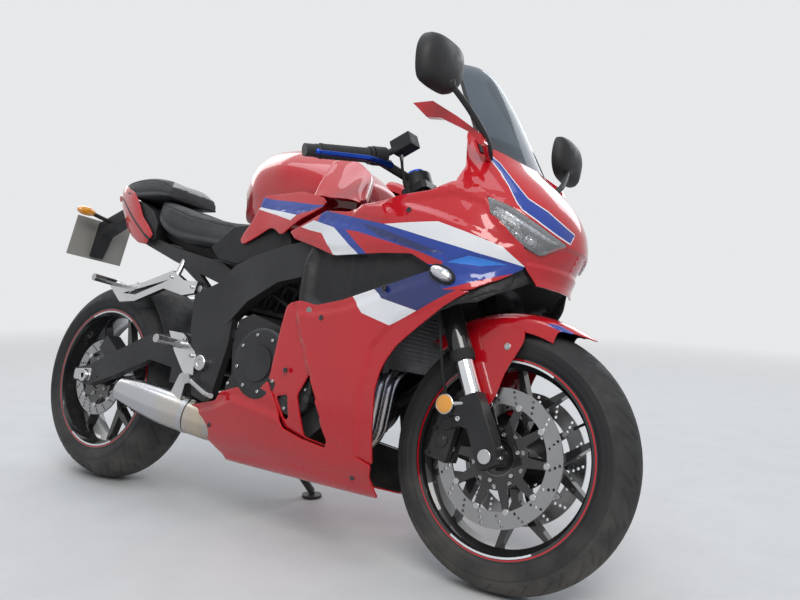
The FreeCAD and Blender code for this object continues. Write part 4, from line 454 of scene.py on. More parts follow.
CALIPER_BLACK = look("caliper_metal", (0.016, 0.016, 0.017), (0.030, 0.030, 0.031), (0.3, 0.42), 0.15,
                     Metallic=0.2, Specular_IOR_Level=0.35)
SEAT_COVER = look("seat_leather", (0.026, 0.027, 0.029), (0.038, 0.039, 0.041), (0.55, 0.7), 0.45,
                  depth=0.0012, Specular_IOR_Level=0.3)
SEAT_GREY = look("seat_front_grey", (0.26, 0.26, 0.265), (0.31, 0.31, 0.315), (0.5, 0.65), 0.4)
AMBER = look("amber_reflector", (0.80, 0.33, 0.02), (0.66, 0.25, 0.015), (0.08, 0.15), 0.2, "Ripple",
             Coat_Weight=1.0)
RED_LENS = look("lens_plastic", (0.42, 0.010, 0.010), (0.32, 0.008, 0.008), (0.08, 0.14), 0.15, "Ripple",
                Coat_Weight=1.0)
SILVER_LENS = look("indicator_silver", (0.70, 0.70, 0.71), (0.45, 0.45, 0.46), (0.06, 0.16), 0.6, "Ripple",
                   Metallic=0.75, Coat_Weight=1.0)
LIGHT_STRIP = look("lamp_light_strip", (0.78, 0.80, 0.83), (0.62, 0.65, 0.70), (0.1, 0.2), 0.2, "Ripple",
                   Metallic=0.5, Coat_Weight=1.0)
LAMP_DARK = look("lamp_bowl", (0.035, 0.038, 0.042), (0.06, 0.065, 0.07), (0.1, 0.22), 0.1, "Ripple",
                 Metallic=0.6, Coat_Weight=1.0)
MIRROR_GLASS = look("mirror_glass", (0.42, 0.52, 0.66), (0.38, 0.48, 0.62), (0.02, 0.04), 0.0, Metallic=1.0)
BLANK_PLATE = look("blank_plate", (0.34, 0.33, 0.30), (0.27, 0.26, 0.235), (0.3, 0.42), 0.08)
DIAL = look("dial_face", (0.02, 0.022, 0.026), (0.04, 0.045, 0.05), (0.08, 0.14), 0.0, Coat_Weight=1.0)
BLUE_LEVER = look("blue_anodised", (0.012, 0.05, 0.34), (0.015, 0.07, 0.42), (0.18, 0.28), 0.05, Metallic=0.9)


def clear_look(name, colour, see_through, rough=(0.01, 0.03), coat=1.0):
    """Thin clear plastic: light passes straight through by a share, the rest is a glossy tinted skin."""
    material, surface, _, tint = worn_surface(name, colour, [value * 0.85 for value in colour], rough)
    tree = material.node_tree
    tree.links.new(tint, surface.inputs["Base Color"])
    surface.inputs["Coat Weight"].default_value = coat
    clear = add_node(tree, "ShaderNodeBsdfTransparent")
    tree.links.new(tint, clear.inputs["Color"])
    facing = add_node(tree, "ShaderNodeLayerWeight", {"Blend": 0.25})
    share = ranged(tree, facing.outputs["Facing"], see_through, see_through * 0.25, 0.1, 0.95)
    joined_shaders(tree, share, surface.outputs["BSDF"], clear.outputs["BSDF"], tree.nodes["Material Output"])
    return material


CLEAR_LENS = clear_look("clear_lens", (0.95, 0.96, 0.97), 0.88)
TINTED = clear_look("tinted_glass", (0.26, 0.30, 0.34), 0.80, (0.03, 0.06), 0.0)


def heat_tinted(name, brushed, straw, blue, start, end):
    """Steel coloured by heat along the object's X axis, and brushed along it."""
    material = look(name, brushed, [value * 0.93 for value in brushed], (0.24, 0.29), 0.0, dust=0.04,
                    Metallic=1.0)
    tree = material.node_tree
    surface = tree.nodes["Principled BSDF"]
    shift = ranged(tree, object_noise(tree, 9.0, 3.0), -0.03, 0.03)
    along = worked(tree, "ADD", object_axis(tree, "X"), shift)
    colour = surface.inputs["Base Color"].links[0].from_socket
    for most, tint, limits in ((0.85, straw, start), (0.75, blue, end)):
        colour = blended(tree, ranged(tree, along, 0.0, most, *limits), colour, (*tint, 1.0))
    tree.links.new(colour, surface.inputs["Base Color"])
    bumped(tree, surface, object_noise(tree, 260.0, 2.0, (0.06, 1.0, 1.0)), 0.05, 0.0003)
    return material


SILENCER_STEEL = heat_tinted("silencer_steel", (0.50, 0.50, 0.52), (0.52, 0.42, 0.28), (0.24, 0.30, 0.44),
                             (-0.30, -0.14), (-0.16, -0.06))
HEADER_CHROME = heat_tinted("header_steel", (0.62, 0.60, 0.58), (0.58, 0.44, 0.26), (0.22, 0.28, 0.46),
                            (0.16, 0.30), (0.32, 0.42))


# Panels cut from smooth sheets

def inside(points, polygon):
    """Whether points lie within a polygon, by counting the edges that a line across crosses."""
    points, polygon = np.asarray(points, float), np.asarray(polygon, float)
    across, up = points[:, 0][:, None], points[:, 1][:, None]
    nexts = np.roll(polygon, -1, axis=0)
    rises = (polygon[:, 1] > up) != (nexts[:, 1] > up)
    height = np.where(nexts[:, 1] == polygon[:, 1], 1e-9, nexts[:, 1] - polygon[:, 1])
    crossing = polygon[:, 0] + (up - polygon[:, 1]) / height * (nexts[:, 0] - polygon[:, 0])
    return (rises & (across < crossing)).sum(1) % 2 == 1


def depth_in(points, polygon):
    """Distance of points from a polygon's edge, positive within it."""
    points, polygon = np.asarray(points, float), np.asarray(polygon, float)
    nexts = np.roll(polygon, -1, axis=0)
    way = nexts - polygon
    length = np.maximum((way * way).sum(1), 1e-9)
    best = np.full(len(points), np.inf)
    for start, along, square in zip(polygon, way, length):
        off = points - start
        share = np.clip((off @ along) / square, 0, 1)
        best = np.minimum(best, np.hypot(*(off - share[:, None] * along).T))
    return np.where(inside(points, polygon), best, -best)


def spaced(polygon, step=7.0):
    """A polygon with more corners along its edges, no further apart than the step."""
    polygon = np.asarray(polygon, float)
    rows = []
    for start, end in zip(polygon, np.roll(polygon, -1, axis=0)):
        count = max(1, int(math.ceil(np.hypot(*(end - start)) / step)))
        rows.append(start + (end - start) * (np.arange(count) / count)[:, None])
    return np.vstack(rows)


def softened(polygon, radius=6.0):
    """A polygon with every corner cut twice, so that it reads as rounded."""
    polygon = np.asarray(polygon, float)
    for share in (1.0, 0.4):
        before, after = np.roll(polygon, 1, axis=0) - polygon, np.roll(polygon, -1, axis=0) - polygon
        lengths = [np.maximum(np.hypot(*side.T), 1e-6)[:, None] for side in (before, after)]
        cuts = [np.minimum(radius * share, length * 0.3) / length for length in lengths]
        polygon = np.stack([polygon + before * cuts[0], polygon + after * cuts[1]], 1).reshape(-1, 2)
    return polygon


def open_run(corners, radius, step=7.0):
    """Corners of an open line, those between its ends rounded, with more corners along it."""
    soft = softened(corners, radius)[2:-2]
    line = spaced(np.vstack([corners[0], soft, corners[-1]]), step)
    return line[:1 + np.argmin(np.hypot(*(line - corners[-1]).T))]


NO_GRID = 1e6


def patch(outline, windows=(), stripes=(), grid=8.0):
    """Triangles over an outline in sheet coordinates: a constrained mesh whose edges follow the
    outline, the windows that are left out and the stripes; each face's slot is its last stripe's."""
    rings = [np.asarray(ring, float) for ring in [outline, *windows, *[corners for _, corners in stripes]]]
    edge_points = np.vstack(rings)
    low, high = rings[0].min(0), rings[0].max(0)
    rows = np.arange(low[1] + grid * 0.5, high[1], grid * 0.87)
    across = np.arange(low[0] - grid, high[0] + grid, grid)
    inner = [(x + (index % 2) * grid * 0.5, row) for index, row in enumerate(rows) for x in across]
    inner = np.array(inner).reshape(-1, 2)
    inner = inner[inside(inner, rings[0])]
    near = np.full(len(inner), np.inf)
    for start in range(0, len(edge_points), 200):
        gaps = inner[:, None] - edge_points[None, start:start + 200]
        near = np.minimum(near, np.hypot(gaps[..., 0], gaps[..., 1]).min(1))
    inner = inner[near > grid * 0.55]
    edges, start = [], 0
    for ring in rings:
        edges += [(start + index, start + (index + 1) % len(ring)) for index in range(len(ring))]
        start += len(ring)
    corners = [tuple(corner) for corner in np.vstack([edge_points, inner])]
    made = delaunay_2d_cdt(corners, edges, [], 0, 1e-4)
    points = np.array([tuple(point) for point in made[0]])
    faces = np.array([face for face in made[2] if len(face) == 3])
    middles = points[faces].mean(1)
    kept = inside(middles, rings[0])
    for window in rings[1:1 + len(windows)]:
        kept &= ~inside(middles, window)
    faces, middles = faces[kept], middles[kept]
    slots = np.zeros(len(faces), int)
    for slot, ring in stripes:
        slots[inside(middles, ring)] = slot
    used = np.unique(faces)
    renumber = np.zeros(len(points), int)
    renumber[used] = np.arange(len(used))
    return points[used], renumber[faces], slots


def extruded(corners, near, far, holes=(), map_to=None):
    """A flat plate: an outline with holes, carried from y = near to y = far, as a closed mesh."""
    points, faces, _ = patch(corners, holes, grid=NO_GRID)
    count = len(points)
    plate = np.vstack([np.stack([points[:, 0], np.full(count, y), points[:, 1]], -1) for y in (near, far)])
    edges = [(int(a), int(b)) for face in faces for a, b in zip(face, np.roll(face, -1))]
    known = set(edges)
    walls = [[a, b, b + count, a + count] for a, b in edges if (b, a) not in known]
    shell = flipped(faces) + [list(face + count) for face in faces] + walls
    return solid((plate if map_to is None else map_to(plate), shell, None))


def ring_of(middle, radius, count):
    """Corners of a circle."""
    angle = np.linspace(0, FULL_TURN, count, endpoint=False)
    return np.stack([np.cos(angle) * radius, np.sin(angle) * radius], -1) + np.asarray(middle, float)


# The fairing's form. Columns: height, fullest half width, x where both sides meet, narrowing behind.
LEVELS = np.array([
    (163, 122, 1700, 0.12), (200, 152, 1700, 0.10), (270, 178, 1700, 0.08), (360, 194, 1700, 0.05),
    (480, 206, 1700, 0.05), (600, 218, 1643, 0.08), (690, 228, 1528, 0.16), (783, 230, 1561, 0.22),
    (870, 216, 1531, 0.22), (918, 206, 1487, 0.22), (968, 195, 1431, 0.22), (1030, 176, 1376, 0.22),
])
FULLEST = 1240.0
NARROWING_LENGTH = 400.0
QUARTER_TURN = math.pi / 2
NOSE_RUN = 450.0
NOSE_TIP = FULLEST + NOSE_RUN
FORM_FOOT = LEVELS[0][0]


def form_row(height):
    """The rows of the form's measures at heights, one array for each column of its table."""
    return np.moveaxis(smooth_run(LEVELS[:, 1:], LEVELS[:, 0], at=np.maximum(height, FORM_FOOT)), -1, 0)


def to_form(corners):
    """Side-view corners (x, z) as sheet coordinates: x itself up to the fullest place, then the
    turn of the nose round from there, sin(turn)^0.8 being the share of the way to the nose."""
    corners = np.asarray(corners, float)
    _, closing, _ = form_row(corners[:, 1])
    share = np.clip((corners[:, 0] - FULLEST) / (closing - FULLEST), 0, 1)
    turn = np.arcsin(share ** 1.25) / QUARTER_TURN
    return np.stack([np.where(corners[:, 0] <= FULLEST, corners[:, 0], FULLEST + NOSE_RUN * turn),
                     corners[:, 1]], -1)


def form_base(u, v):
    """The form's outer face. Behind the fullest place y = half (1 - n ((1240 - x) / 400)^1.5); ahead
    of it x follows sin(turn)^0.8 and y follows cos(turn)^1.112; under its foot it turns flat."""
    half, closing, narrowing = form_row(v)
    sign = np.where(u > NOSE_TIP, 1.0, -1.0)
    u = np.where(u > NOSE_TIP, 2 * NOSE_TIP - u, u)
    under = np.maximum(FORM_FOOT - v, 0)
    turn = np.clip((u - FULLEST) / NOSE_RUN, 0, 1) * QUARTER_TURN
    x = np.where(u <= FULLEST, u, FULLEST + np.sin(turn) ** 0.8 * (closing - FULLEST))
    behind = np.maximum(FULLEST - u, 0) / NARROWING_LENGTH
    y = np.where(u <= FULLEST, half * (1 - narrowing * behind ** 1.5), half * np.cos(turn) ** 1.112)
    z = np.maximum(v, FORM_FOOT) - 5 * (1 - np.exp(-under / 14))
    return np.stack([x, sign * (y - under), z], -1)


def on_form(points, inward=0.0):
    """Sheet points on the form, moved in along its normal by a distance that may vary."""
    u, v = points[:, 0], points[:, 1]
    base = form_base(u, v)
    normal = np.cross(form_base(u + 1, v) - form_base(u - 1, v), form_base(u, v + 1) - form_base(u, v - 1))
    normal /= np.maximum(np.linalg.norm(normal, axis=1), 1e-9)[:, None]
    return base - normal * np.broadcast_to(np.asarray(inward, float), (len(base),))[:, None]


def soft_step(distance, width):
    """A smooth rise from 0 to 1 over a width."""
    share = np.clip(np.asarray(distance) / width, 0, 1)
    return share * share * (3 - 2 * share)


def pressed(points, dents):
    """How far sheet points are moved in by dents: (corners, depth, width of the slope at its edge)."""
    total = np.zeros(len(points))
    for corners, depth, width in dents:
        total += depth * soft_step(depth_in(points, to_form(corners)) + width * 0.5, width)
    return total


def sheet_ring(corners, round_by=0.0, step=7.0):
    """Side-view corners as a closely spaced ring on the form's sheet, its corners rounded if asked."""
    return to_form(spaced(softened(corners, round_by) if round_by else corners, step))


def panel(outline, windows=(), stripes=(), dents=(), inward=None, grid=8.0, round_by=5.0, step=7.0):
    """A part of the form's face between side-view corners, with coloured stripes and pressed dents;
    inward may give a further distance from the sheet points and the outer ring."""
    ring = sheet_ring(outline, round_by, step)
    holes = [sheet_ring(window, round_by) for window in windows]
    fields = [(slot, sheet_ring(corners)) for slot, corners in stripes]
    points, faces, slots = patch(ring, holes, fields, grid)
    depth = pressed(points, dents)
    if inward:
        depth = depth + inward(points, ring)
    return on_form(points, depth), faces, slots


def walled(thing, thickness, bevel=1.4):
    """Gives a sheet a wall behind its face, and a rounded rim; the inside shows the last look."""
    wall = thing.modifiers.new("wall", "SOLIDIFY")
    wall.thickness = thickness / 1000.0
    wall.offset = -1.0
    wall.use_even_offset = False
    wall.use_rim = True
    wall.material_offset = len(thing.data.materials) - 1
    if bevel:
        rounded(thing, bevel, 50)
    return thing


# Stripes, side-view corners: slot in the paint list, corners.
# Slot 3 is the darker copy of the blue paint: painted shade.
# Slot 4 is the lighter copy of the blue paint: painted highlight.
RED, WHITE, BLUE, SHADED_BLUE, LIT_BLUE = range(5)
BLUE_BAND = [(940, 838), (962, 829), (1066, 808), (1160, 790), (1299, 756), (1407, 732), (1489, 718),
             (1478, 704), (1420, 676), (1368, 654), (1320, 640), (1300, 690), (1256, 713), (1186, 722),
             (1095, 712), (960, 722), (900, 760)]
WHITE_UPPER = [(1160, 790), (1310, 796), (1388, 773), (1453, 752), (1489, 718), (1407, 732), (1299, 756)]
# Painted highlight: a wedge of the lighter blue near the front of the upper panel.
PAINTED_HIGHLIGHT_WEDGE = [(1341, 706), (1389, 725), (1462, 716), (1411, 705)]
FIN_RED = [(1035, 779), (1074, 774), (1269, 727), (1334, 706), (1330, 696), (1256, 705), (1186, 716),
           (1120, 716)]
WHITE_REAR = [(862, 792), (909, 808), (992, 786), (1089, 718), (1007, 714), (948, 773), (900, 782)]
REAR_RED = [(780, 740), (800, 800), (870, 792), (948, 773), (1007, 714), (900, 700)]
WHITE_LOWER = [(1085, 619), (1151, 637), (1180, 616), (1279, 594), (1208, 556), (1125, 579)]
# Painted shade: a strip of the darker blue along the lower panel's recess under the upper panel's edge.
LOWER_PAINTED_SHADE = [(1151, 637), (1300, 686), (1345, 700), (1372, 660), (1420, 676), (1402, 664), (1281, 594),
              (1180, 616)]
UPPER_STRIPES = [(BLUE, BLUE_BAND),
                 # The darker blue strip along the upper panel's groove is painted shade.
                 (SHADED_BLUE, [(1090, 793), (1160, 777), (1290, 738), (1340, 722), (1270, 729), (1150, 760)]),
                 # The lighter blue wedge is painted highlight.
                 (WHITE, WHITE_UPPER), (LIT_BLUE, PAINTED_HIGHLIGHT_WEDGE), (RED, REAR_RED), (RED, FIN_RED),
                 (WHITE, WHITE_REAR)]
LOWER_STRIPES = [(SHADED_BLUE, LOWER_PAINTED_SHADE), (WHITE, WHITE_LOWER)]

UPPER_SIDE = [(1324, 897), (1397, 878), (1404, 864), (1419, 825), (1446, 805), (1470, 777), (1491, 759),
              (1488, 716), (1451, 683), (1402, 650), (1338, 644), (1316, 690), (1249, 722), (1161, 722),
              (1065, 718), (1007, 716), (916, 743), (845, 761), (818, 781), (870, 799), (950, 832),
              (1035, 825), (1084, 841), (1140, 851), (1186, 862), (1268, 872)]
LOWER_SIDE = [(1402, 650), (1338, 644), (1316, 690), (1229, 660), (1144, 634), (1053, 606), (973, 590),
              (919, 599), (877, 592), (866, 582), (848, 487), (831, 389), (863, 335), (893, 278), (959, 261),
              (1042, 251), (1045, 269), (1182, 233), (1181, 338), (1180, 406), (1190, 448), (1204, 477),
              (1231, 513), (1269, 546), (1339, 604)]
TALL_WINDOW = [(972, 424), (935, 362), (961, 264), (1040, 254)]
REAR_WINDOW = [(862, 352), (902, 362), (908, 300), (892, 296)]
BELLY_SIDE = [(522, 288), (584, 207), (659, 150), (672, 106), (1112, 106), (1124, 152), (1186, 162),
              (1172, 201), (1182, 233), (1045, 269), (1042, 251), (959, 261), (893, 278), (863, 335),
              (831, 389), (798, 358), (721, 360), (651, 339), (629, 312)]
STAND_NOTCH = [(500, 340), (588, 300), (636, 226), (700, 140), (700, 90), (500, 90)]
TANK_SIDE = [(655, 862), (661, 893), (833, 893), (900, 876), (933, 866), (936, 846), (846, 812), (779, 773),
             (745, 793), (721, 797), (616, 748), (592, 768), (633, 812)]
TANK_SIDE_STRIPES = [(BLUE, [(640, 892), (691, 881), (808, 865), (899, 851), (940, 847), (829, 827),
                             (751, 842), (640, 862)]),
                     (WHITE, [(640, 862), (751, 842), (829, 827), (809, 813), (742, 831), (640, 855)])]
LAMP = [(1404, 864), (1449, 849), (1505, 816), (1552, 782), (1514, 746), (1491, 759), (1470, 777),
        (1446, 805), (1419, 825)]
NOSE_EDGE = [(1504, 684), (1488, 716), (1491, 759), (1514, 746), (1552, 782), (1505, 816), (1449, 849),
             (1404, 864), (1397, 878), (1324, 897), (1337, 937), (1311, 1028)]
NOSE_STRIPE = [(1359, 982), (1396, 953), (1475, 871), (1512, 849), (1534, 830), (1553, 812), (1552, 790),
               (1535, 801), (1500, 826), (1474, 843), (1468, 851), (1435, 899), (1408, 931)]
DUCT = [(1480, 722), (1440, 690), (1330, 655), (1311, 700), (1249, 735), (1161, 742), (1065, 735),
        (1000, 735), (925, 756), (915, 700), (925, 600), (973, 580), (1053, 596), (1144, 624), (1229, 650),
        (1300, 640), (1338, 600)]
LINING = [(940, 822), (1140, 840), (1268, 860), (1395, 862), (1480, 722), (1470, 668), (1338, 600),
          (1262, 540), (1215, 600), (1100, 592), (970, 580), (905, 600), (900, 700), (930, 780)]
PANEL_WALL = 4.0

# Dents: corners, depth in mm (less than none stands proud), width of the slope.
UPPER_DENTS = [
    ([(1201, 846), (1365, 795), (1452, 753), (1478, 762), (1440, 800), (1400, 850), (1330, 868),
      (1258, 858)], 5, 8),
    ([(1053, 817), (1076, 843), (1144, 840), (1182, 813), (1159, 796)], -6, 14),
    ([(940, 820), (1066, 795), (1330, 729), (1335, 722), (1066, 783), (940, 808)], 3, 7),
    ([(1341, 706), (1389, 725), (1462, 716), (1411, 703)], 5, 8),
    ([(1341, 704), (1411, 703), (1462, 714), (1420, 680), (1360, 670)], 3, 6),
    ([(1316, 640), (1249, 715), (1000, 705), (850, 735), (850, 762), (925, 752), (1010, 731), (1160, 736),
      (1249, 738), (1325, 706)], 4, 10),
]
LOWER_DENTS = [
    ([(845, 610), (896, 591), (930, 520), (960, 452), (1047, 250), (1000, 200), (800, 240), (800, 600)],
     10, 9),
    ([(866, 640), (900, 570), (960, 566), (1060, 583), (1144, 612), (1229, 640), (1320, 676), (1340, 720),
      (1200, 700), (1000, 650)], 6, 12),
    ([(1402, 672), (1281, 594), (1208, 556), (1160, 500), (1140, 400), (1140, 240), (1230, 200), (1300, 500),
      (1420, 640)], 5, 8),
]
BELLY_DENTS = [
    ([(500, 330), (629, 322), (651, 349), (721, 370), (798, 368), (840, 400), (900, 300), (700, 330),
      (640, 300), (540, 270)], 6, 12),
    ([(640, 170), (900, 190), (1200, 182), (1200, 100), (600, 100)], -5, 20),
]
TANK_SIDE_DENTS = [([(600, 870), (760, 850), (905, 838), (905, 832), (760, 842), (600, 862)], 2.5, 7)]
CREASE = [(1311, 1040), (1362, 980), (1437, 900), (1470, 852), (1404, 860), (1390, 880), (1320, 900),
          (1330, 940)]
BEAK = [(1489, 765), (1514, 748), (1548, 776), (1600, 776), (1600, 726), (1490, 726)]
CHIN = [(1500, 690), (1488, 716), (1440, 690), (1392, 660), (1300, 614), (1330, 606), (1420, 628)]

# Fairing panels

def fairing_pair(name, node, outline, windows=(), stripes=(), dents=(), left_windows=()):
    """A panel on the right and its mirror image on the left, as one piece."""
    right = panel(outline, windows, stripes, dents)
    left = panel(outline, [*windows, *left_windows], stripes, dents) if left_windows else right
    part = gathered([right, mirrored(left)])
    return walled(piece(name, part, "chassis", PAINTS, nodes=[node]), PANEL_WALL)


fairing_pair("upper_panels", "upper_fairings", UPPER_SIDE, (), UPPER_STRIPES, UPPER_DENTS)
fairing_pair("lower_panels", "lower_fairings", LOWER_SIDE, [TALL_WINDOW, REAR_WINDOW], LOWER_STRIPES,
             LOWER_DENTS)
fairing_pair("belly_panels", "belly_fairings", BELLY_SIDE, (), (), BELLY_DENTS, [STAND_NOTCH])

# Columns: x, height of the form's point that it starts from, half width and height of its ridge.
SHROUD_ROWS = [(880, 876, 116, 990), (906, 876, 108, 998), (950, 868, 112, 988), (990, 864, 118, 965),
               (1030, 858, 140, 930), (1062, 848, 190, 862)]
SHROUD_ALONG, SHROUD_ACROSS = 40, 44


def shroud_facet():
    """The shroud's upper facet leans in from the form to a ridge beside the tank and rolls over it."""
    lines = []
    for x, foot_z, ridge_y, ridge_z in SHROUD_ROWS:
        foot = form_base(np.array([float(x)]), np.array([float(foot_z)]))[0]
        ridge = np.array([x, -ridge_y, ridge_z])
        lines.append([foot, foot + (ridge - foot) * 0.5 + [0, -5, 0], ridge + [0, -3, -6], ridge + [0, 4, 0],
                      ridge + [0, 14, -10], ridge + [0, 16, -30]])
    lines = np.array(lines)
    stations = [row[0] for row in SHROUD_ROWS]
    fine = smooth_run(lines.reshape(len(lines), -1), stations, SHROUD_ALONG).reshape(SHROUD_ALONG, -1, 3)
    grid = smooth_run(np.moveaxis(fine, 1, 0).reshape(lines.shape[1], -1), [0, 3, 5.4, 6, 6.5, 7.5],
                      SHROUD_ACROSS)
    return grid.reshape(-1, 3), grid_faces(SHROUD_ACROSS, SHROUD_ALONG), None


def tongue(points, _):
    """Brings the rear tongue of the tank's side piece out over the black cover."""
    return -8 * soft_step(720 - points[:, 0], 120)


tank_side = panel(TANK_SIDE, (), TANK_SIDE_STRIPES, TANK_SIDE_DENTS, tongue, round_by=8)
part = both_sides(gathered([shroud_facet(), tank_side]))
walled(piece("tank_shroud_panels", part, "chassis", PAINTS, nodes=["tank_shrouds"]), 3.5)


def lining_depth(points, _):
    """The lining lies close behind the panels, and sinks deep and ribbed where the duct opens."""
    depth = 8.5 + 18 * soft_step(depth_in(points, to_form(DUCT)), 16)
    return depth - 2.5 * np.maximum(0, np.cos(points[:, 0] / 13.0)) ** 8 * (depth > 24)


part = both_sides(panel(LINING, inward=lining_depth, grid=9, round_by=6))
walled(piece("duct_linings", part, "chassis", [PLASTIC], 40, ["fairing_linings"]), 3.0, 0)


def across_nose(corners):
    """Sheet corners carried to the other side of the nose."""
    corners = np.asarray(corners, float)
    return np.stack([2 * NOSE_TIP - corners[:, 0], corners[:, 1]], -1)


def widened(ring, width):
    """A ring with each corner moved out along the mean normal of its neighbours."""
    normals = np.roll(ring, -1, axis=0) - np.roll(ring, 1, axis=0)
    normals = np.stack([normals[:, 1], -normals[:, 0]], -1) / np.maximum(np.hypot(*normals.T), 1e-6)[:, None]
    if np.sum(normals * (ring - ring.mean(0))) < 0:
        normals = -normals
    return ring + normals * width


def nose_panel():
    """The nose across both sides, with its stripes. A shallow crease runs down from the screen
    beside the lamp, and the beak under the lamps is drawn in."""
    foot_z, top_z = NOSE_EDGE[0][1], NOSE_EDGE[-1][1]
    right = to_form(open_run(NOSE_EDGE, 4))
    right[0, 1], right[-1, 1] = foot_z, top_z
    top = [(u, top_z) for u in np.linspace(right[-1, 0], 2 * NOSE_TIP - right[-1, 0], 30)[1:-1]]
    foot = [(u, foot_z) for u in np.linspace(2 * NOSE_TIP - right[0, 0], right[0, 0], 16)[1:-1]]
    ring = np.vstack([right, top, across_nose(right)[::-1], foot])
    stripe = sheet_ring(NOSE_STRIPE)
    wide = widened(stripe, 3.2)
    fields = [(WHITE, wide), (WHITE, across_nose(wide)), (BLUE, stripe), (BLUE, across_nose(stripe))]
    points, faces, slots = patch(ring, (), fields)
    side = np.stack([np.minimum(points[:, 0], 2 * NOSE_TIP - points[:, 0]), points[:, 1]], -1)
    crease, beak = (depth_in(side, sheet_ring(corners)) for corners in (CREASE, BEAK))
    return on_form(points, 4.0 * soft_step(crease + 5, 10) + 7.0 * soft_step(beak + 5, 10)), faces, slots


walled(piece("nose_panel", nose_panel(), "chassis", PAINTS, nodes=["nose_cowl"]), PANEL_WALL)


def chin_depth(points, ring):
    """The chin is drawn back from the form behind the side panels' lower edge."""
    return 9 + 26 * soft_step(depth_in(points, ring), 60)


part = both_sides(panel(CHIN, inward=chin_depth, grid=10, round_by=0))
walled(piece("chin_panels", part, "chassis", [PLASTIC], 40), 3.0, 0)

# Lamps

LAMP_STRIP = [(1424, 846), (1450, 838), (1503, 808), (1544, 782), (1536, 777), (1488, 803), (1429, 836)]
LAMP_REAR = [(1440, 822), (1450, 800), (1474, 772), (1492, 762), (1480, 782), (1462, 806)]
LAMP_BALL = 13.0


def lamp_sheet(corners, edge, rise, width, grid=8.0):
    """A sheet over a lamp's corners, lying inward by a distance at its edge and by more further in."""
    return panel(corners, inward=lambda points, ring: edge + rise * soft_step(depth_in(points, ring), width),
                 grid=grid, round_by=4, step=5)


def lamp_bowls():
    """A dark bowl, a bright strip along its upper edge, a silver sheet behind and two small lenses."""
    parts = [numbered(lamp_sheet(LAMP, 3, 24, 10), 0), numbered(lamp_sheet(LAMP_STRIP, 7, -4, 5, 5), 1),
             numbered(lamp_sheet(LAMP_REAR, 12, -6, 9, 5), 2)]
    angle = np.linspace(0.02, 1.5, 9)
    ball = list(zip(LAMP_BALL * np.sin(angle), LAMP_BALL * np.cos(angle) - 8))
    ball += [(15, -7), (15, -14), (0.5, -14)]
    for x, z in ((1478, 788), (1506, 776)):
        middle, front = (on_form(to_form(np.array([(x, z)])), depth)[0] for depth in (20.0, 0.0))
        parts.append(lathe(ball, 24, middle, front - middle, 2))
    return both_sides(gathered(parts))


walled(piece("lamp_bowls", lamp_bowls(), "chassis", [LAMP_DARK, LIGHT_STRIP, SILVER_LENS]), 1.5, 0)
lens = both_sides(lamp_sheet(LAMP, 1.0, -2.0, 12))
walled(piece("lamp_lenses", lens, "chassis", [CLEAR_LENS], nodes=["head_lamps"]), 1.6, 0.5)


def indicator_parts():
    """The clear oval lens in its dark rim, set slanting into the panel: a faceted dome. Steps give
    half length, half height and distance out."""
    middle = on_form(to_form(np.array([(1336.0, 678.0)])), 0.0)[0]
    out = np.array([0.22, -0.97, 0.10])
    out /= np.linalg.norm(out)
    along = np.array([0.93, 0.0, -0.36])
    along -= out * np.dot(along, out)
    along /= np.linalg.norm(along)
    up = np.cross(out, along)
    parts = []
    for steps, slot, count in (([(33, 19, -6), (33, 19, 5), (31, 17, 8), (29, 15, 7)], 0, 40),
                               ([(29, 15, 5), (28, 14, 12), (24, 11, 18), (15, 6, 22), (0.5, 0.3, 23)],
                                1, 10)):
        turn = np.linspace(0, FULL_TURN, count, endpoint=False)
        wave = np.sign(np.cos(turn)) * np.abs(np.cos(turn)) ** 0.8
        rings = [middle + along * wave[:, None] * wide + up * np.sin(turn)[:, None] * tall + out * height
                 for wide, tall, height in steps]
        parts.append(numbered(closed_rings(np.array(rings)), slot))
    return gathered(parts)


def rear_indicator():
    """A stem from the plate hanger and a rounded amber head."""
    stem = tube([(-196, -22, 846), (-198, -60, 852), (-198, -96, 858)], 7.0, 14)
    turn = np.linspace(0.02, math.pi - 0.02, 14)
    head = [(0.5, 34)] + [(15 * math.sin(t) ** 0.8, 34 * math.cos(t)) for t in turn] + [(0.5, -34)]
    return gathered([stem, lathe(head, 28, (-198, -118, 860), (0, 1, 0.02), 2)])


part = both_sides(gathered([indicator_parts(), rear_indicator()]))
piece("indicator_lamps", part, "chassis", [PLASTIC, SILVER_LENS, AMBER], 24, ["indicators"])

# Windscreen. Columns: x and height of its middle, x of its edges, half width, height of its edges.

SCREEN = np.array([(1440, 950, 1352, 158, 978), (1382, 1050, 1304, 146, 1070), (1324, 1146, 1252, 124, 1158),
                   (1264, 1226, 1212, 90, 1226), (1238, 1248, 1206, 62, 1246)], float)
SCREEN_ROWS, SCREEN_COLUMNS = 34, 44


def windscreen():
    """Lines across the sheet, bowed back to their edges with the square of the distance out; its
    foot and edges have the first look, its middle the second."""
    fine = smooth_run(SCREEN, [0, 1, 2, 3, 3.4], SCREEN_ROWS)
    share = np.linspace(-1, 1, SCREEN_COLUMNS)
    none = np.zeros(SCREEN_ROWS)
    middle = np.stack([fine[:, 0], none, fine[:, 1]], -1)[:, None]
    back = np.stack([fine[:, 2] - fine[:, 0], none, fine[:, 4] - fine[:, 1]], -1)[:, None]
    grid = middle + back * (share ** 2)[None, :, None]
    grid[..., 1] = fine[:, 3][:, None] * share
    faces = grid_faces(SCREEN_ROWS, SCREEN_COLUMNS)
    row, column = np.divmod(np.arange(len(faces)), SCREEN_COLUMNS - 1)
    clear = (row >= 2) & (column > 0) & (column < SCREEN_COLUMNS - 2)
    return grid.reshape(-1, 3), faces, clear.astype(int)


walled(piece("screen_sheet", windscreen(), "chassis", [PLASTIC, TINTED], nodes=["windscreen"]), 3.2, 0.9)


# Fuel tank. Columns: x, foot height, top height, half widths of foot, fullest place and shoulder.

